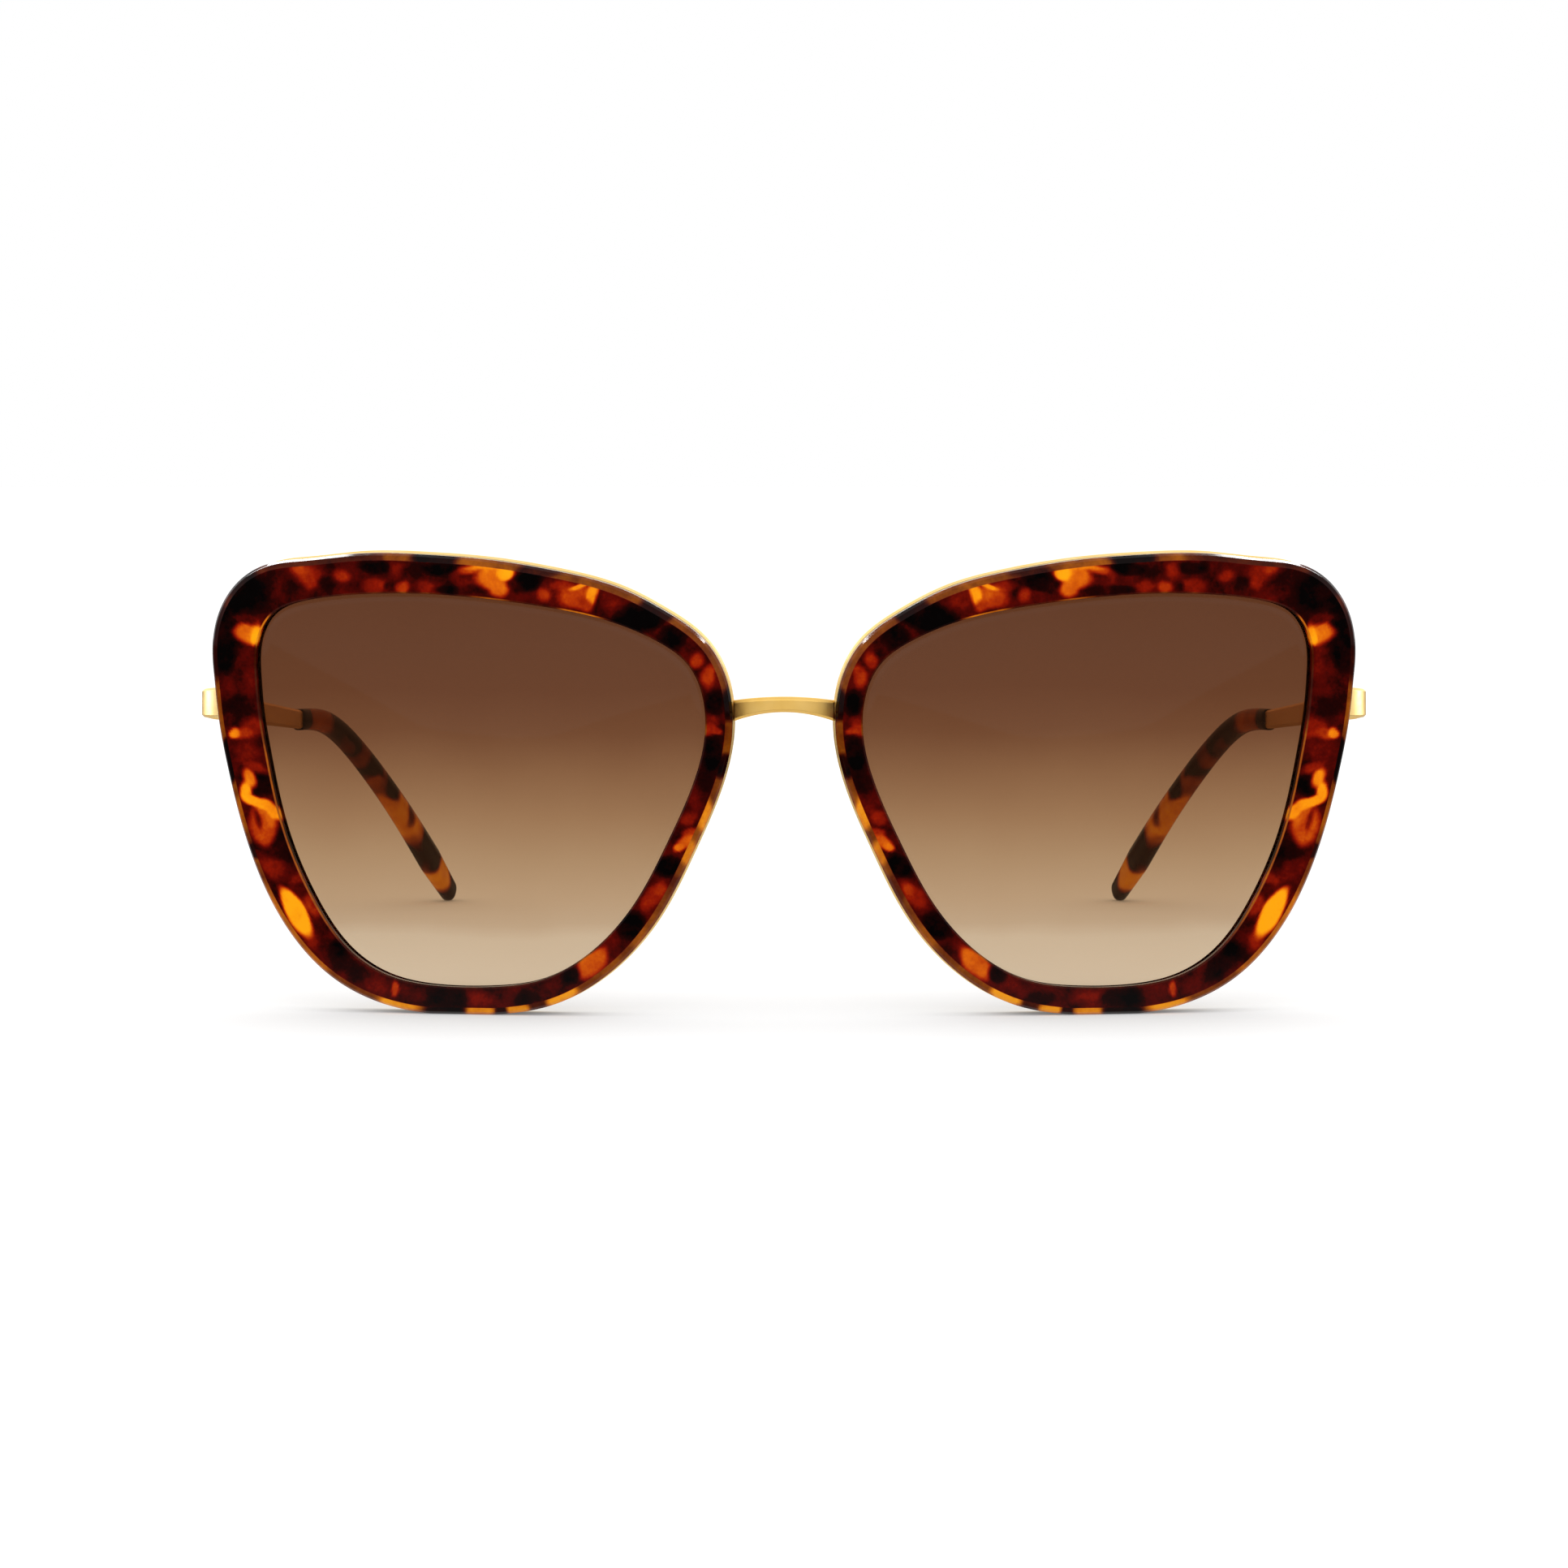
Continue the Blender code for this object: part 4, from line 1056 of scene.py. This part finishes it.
def floor_material():
    """Pale floor, which nothing sees from below. Its glow dims near the pieces: a painted contact shadow.
    """
    nodes = Nodes("pale_floor")
    matt = nodes.add("ShaderNodeBsdfDiffuse", Color=FLOOR_COLOUR).outputs[0]
    # Painted shadow: ambient occlusion dims the floor's glow where pieces are near.
    shade = nodes.add("ShaderNodeAmbientOcclusion", Distance=FLOOR_PAINTED_SHADOW_REACH).outputs["AO"]
    level = nodes.maths("MULTIPLY_ADD", shade, FLOOR_GLOW, FLOOR_GLOW_IN_PAINTED_SHADOW)
    glow = nodes.add("ShaderNodeEmission", Color=(1.0, 1.0, 1.0, 1.0), Strength=level).outputs[0]
    open_floor = nodes.tree.nodes.new("ShaderNodeAddShader")
    nodes.feed(open_floor.inputs[0], matt)
    nodes.feed(open_floor.inputs[1], glow)
    place = nodes.add("ShaderNodeTexCoord").outputs["Object"]
    distance = nodes.add("ShaderNodeVectorMath", {"operation": "LENGTH"}, Vector=place).outputs["Value"]
    fade = nodes.add("ShaderNodeMapRange", Value=distance)
    fade.inputs["From Min"].default_value, fade.inputs["From Max"].default_value = FLOOR_NEAR
    fade.inputs["To Min"].default_value, fade.inputs["To Max"].default_value = FLOOR_IN_REFLECTIONS
    dim = nodes.add("ShaderNodeEmission", Color=FLOOR_REFLECTED_COLOUR, Strength=fade.outputs[0]).outputs[0]
    glossy = nodes.add("ShaderNodeLightPath").outputs["Is Glossy Ray"]
    lit = nodes.tree.nodes.new("ShaderNodeMixShader")
    nodes.feed(lit.inputs[0], glossy)
    nodes.feed(lit.inputs[1], open_floor.outputs[0])
    nodes.feed(lit.inputs[2], dim)
    under = nodes.add("ShaderNodeNewGeometry").outputs["Backfacing"]
    clear = nodes.add("ShaderNodeBsdfTransparent").outputs[0]
    sided = nodes.tree.nodes.new("ShaderNodeMixShader")
    nodes.feed(sided.inputs[0], under)
    nodes.feed(sided.inputs[1], lit.outputs[0])
    nodes.feed(sided.inputs[2], clear)
    return nodes.finish(sided.outputs[0])


# ---------------------------------------------------------------- floor, light and camera

FLOOR_SIZE = 6.0
FLOOR_DROP = 0.02 * MM
FLOOR_COLOUR = (0.45, 0.45, 0.45, 1.0)
FLOOR_REFLECTED_COLOUR = (1.0, 0.98, 0.96, 1.0)
FLOOR_IN_REFLECTIONS = (0.8, 0.2)          # how bright it is near the sunglasses, and further away
FLOOR_NEAR = (100 * MM, 170 * MM)          # where the one turns into the other, from the middle
# The floor's contact shadow is painted into its glow by ambient occlusion.
FLOOR_PAINTED_SHADOW_REACH = 40 * MM                # how near a piece has to be to darken the floor
FLOOR_GLOW = 0.55                          # how much of the floor's glow a near piece can take
FLOOR_GLOW_IN_PAINTED_SHADOW = 0.15                 # and what it leaves
# Sine of the height above the horizon, and how bright the studio is there in reflections
SKY = [(0.0, 0.5), (0.1, 0.55), (0.28, 0.95), (0.45, 1.0), (1.0, 0.5)]
SKY_STRENGTH = 1.7
# Softboxes: name, a word in the names of the pieces that show them, place, aim, width, height and power
SOFTBOXES = [
    ("top_softbox", "shell", (0, 0.35, 0.6), (0, -0.07, 0.05), 1.3, 0.12, 24.0),
    ("right_softbox", "end_piece", (-0.55, -0.15, 0.05), (-0.07, -0.06, 0.037), 0.36, 0.22, 1.2),
    ("left_softbox", "end_piece", (0.55, -0.15, 0.05), (0.07, -0.06, 0.037), 0.36, 0.22, 1.2),
    ("arm_softbox", "gold_arm", (0, 0.5, 0.04), (0, 0, 0.04), 0.3, 0.1, 0.2),
    ("bridge_softbox", "bridge", (0, -0.45, 0.14), (0, -0.07, 0.038), 0.3, 0.06, 0.12),
]
CAMERA_LENS = 121.48
CAMERA_SENSOR = 36.0
CAMERA_DISTANCE = 650 * MM
CAMERA_HEIGHT = 79.2 * MM
CAMERA_AIM_HEIGHT = 28.95 * MM


def add_floor():
    mesh = bpy.data.meshes.new("floor")
    solid = bmesh.new()
    bmesh.ops.create_grid(solid, x_segments=1, y_segments=1, size=FLOOR_SIZE / 2)
    solid.to_mesh(mesh)
    solid.free()
    mesh.materials.append(floor_material())
    mesh.materials[0].cycles.emission_sampling = "NONE"
    floor = bpy.data.objects.new("floor", mesh)
    floor.location.z = -FLOOR_DROP
    bpy.context.scene.collection.objects.link(floor)


def add_world():
    """White behind everything and even light. What reflects sees a dim horizon and a brighter sky."""
    world = bpy.data.worlds.new("studio")
    world.use_nodes = True
    world.cycles.sampling_method = "NONE"
    tree = world.node_tree
    tree.nodes.clear()
    place = tree.nodes.new("ShaderNodeTexCoord")
    axes = tree.nodes.new("ShaderNodeSeparateXYZ")
    tree.links.new(place.outputs["Generated"], axes.inputs[0])
    sky = tree.nodes.new("ShaderNodeValToRGB")
    elements = sky.color_ramp.elements
    while len(elements) < len(SKY):
        elements.new(1.0)
    for element, (position, level) in zip(elements, SKY):
        element.position = position
        element.color = (level, level, level, 1.0)
    tree.links.new(axes.outputs["Z"], sky.inputs[0])
    studio = tree.nodes.new("ShaderNodeBackground")
    tree.links.new(sky.outputs[0], studio.inputs["Color"])
    studio.inputs["Strength"].default_value = SKY_STRENGTH
    white = tree.nodes.new("ShaderNodeBackground")
    white.inputs["Strength"].default_value = 1.0
    white.inputs["Color"].default_value = (1, 1, 1, 1)
    path = tree.nodes.new("ShaderNodeLightPath")
    mixer = tree.nodes.new("ShaderNodeMixShader")
    tree.links.new(path.outputs["Is Glossy Ray"], mixer.inputs[0])
    tree.links.new(white.outputs[0], mixer.inputs[1])
    tree.links.new(studio.outputs[0], mixer.inputs[2])
    output = tree.nodes.new("ShaderNodeOutputWorld")
    tree.links.new(mixer.outputs[0], output.inputs["Surface"])
    bpy.context.scene.world = world


def add_softbox(name, word, place, aim, width, height, power):
    """A softbox that shows only in reflections, on the pieces with this word in their names."""
    light = bpy.data.lights.new(name, "AREA")
    light.shape = "RECTANGLE"
    light.size = width
    light.size_y = height
    light.energy = power
    lamp = bpy.data.objects.new(name, light)
    lamp.location = place
    lamp.rotation_mode = "QUATERNION"
    lamp.rotation_quaternion = (Vector(aim) - Vector(place)).to_track_quat("-Z", "Y")
    lamp.visible_diffuse = False
    lamp.visible_camera = False
    pieces = bpy.data.collections.new(f"{name}_pieces")
    for piece in bpy.context.scene.collection.objects:
        if word in piece.name:
            pieces.objects.link(piece)
    lamp.light_linking.receiver_collection = pieces
    bpy.context.scene.collection.objects.link(lamp)


def add_camera():
    """Level with the lenses and a little above, looking straight at the front."""
    data = bpy.data.cameras.new("camera")
    data.lens = CAMERA_LENS
    data.sensor_width = CAMERA_SENSOR
    camera = bpy.data.objects.new("camera", data)
    camera.location = (0, FRONT_Y - CAMERA_DISTANCE, CAMERA_HEIGHT)
    aim = Vector((0, FRONT_Y, CAMERA_AIM_HEIGHT))
    camera.rotation_mode = "QUATERNION"
    camera.rotation_quaternion = (aim - camera.location).to_track_quat("-Z", "Y")
    bpy.context.scene.collection.objects.link(camera)
    bpy.context.scene.camera = camera


# ---------------------------------------------------------------- putting it together

SHELL = shell_material()
GOLD_PLATE = gold_material("satin_gold", GOLD, GOLD_PALE)
# A paler copy of the gold plate: painted highlight, so the eyewires and end pieces shine cream.
HIGHLIGHT_PALE_PLATE = gold_material("highlight_pale_satin_gold", FRONT_GOLD_FOR_HIGHLIGHTS, FRONT_GOLD_PALE_FOR_HIGHLIGHTS)
TINT = lens_material()

add_pair(rim(), SHELL, "tortoise_acetate", "front", "left_rim")
add_pair(eyewire(), HIGHLIGHT_PALE_PLATE, "gold_plated_metal", "front", "left_eyewire")
add_pair(lens(), TINT, "gradient_lens", "front", "left_lens")
add_pair(nose_pad(), SHELL, "tortoise_acetate", "front", "left_nose_pad")
add_piece(bridge(), GOLD_PLATE, "gold_plated_metal", "front", "bridge")
add_pair(end_piece(), HIGHLIGHT_PALE_PLATE, "gold_plated_metal", "front", "left_end_piece")
add_pair(temple_arm(), GOLD_PLATE, "gold_plated_metal", "left_temple", "left_temple_arm")
add_pair(temple_tip(), SHELL, "tortoise_acetate", "left_temple", "left_temple_tip")

KEPT_NODES = (
    "rim_lock_upper",
    "rim_lock_lower",
    "rim_lock_screw",
    "hinge_front_leaf",
    "hinge_screw",
    "hinge_temple_leaf",
)
for side in ("left", "right"):
    for part in KEPT_NODES:
        node = frame["nodes"][f"{side}_{part}"]
        for material_slot in node.material_slots:
            material_slot.material = GOLD_PLATE

add_floor()
add_world()
for softbox in SOFTBOXES:
    add_softbox(*softbox)
add_camera()
bpy.context.scene.view_settings.view_transform = "Standard"
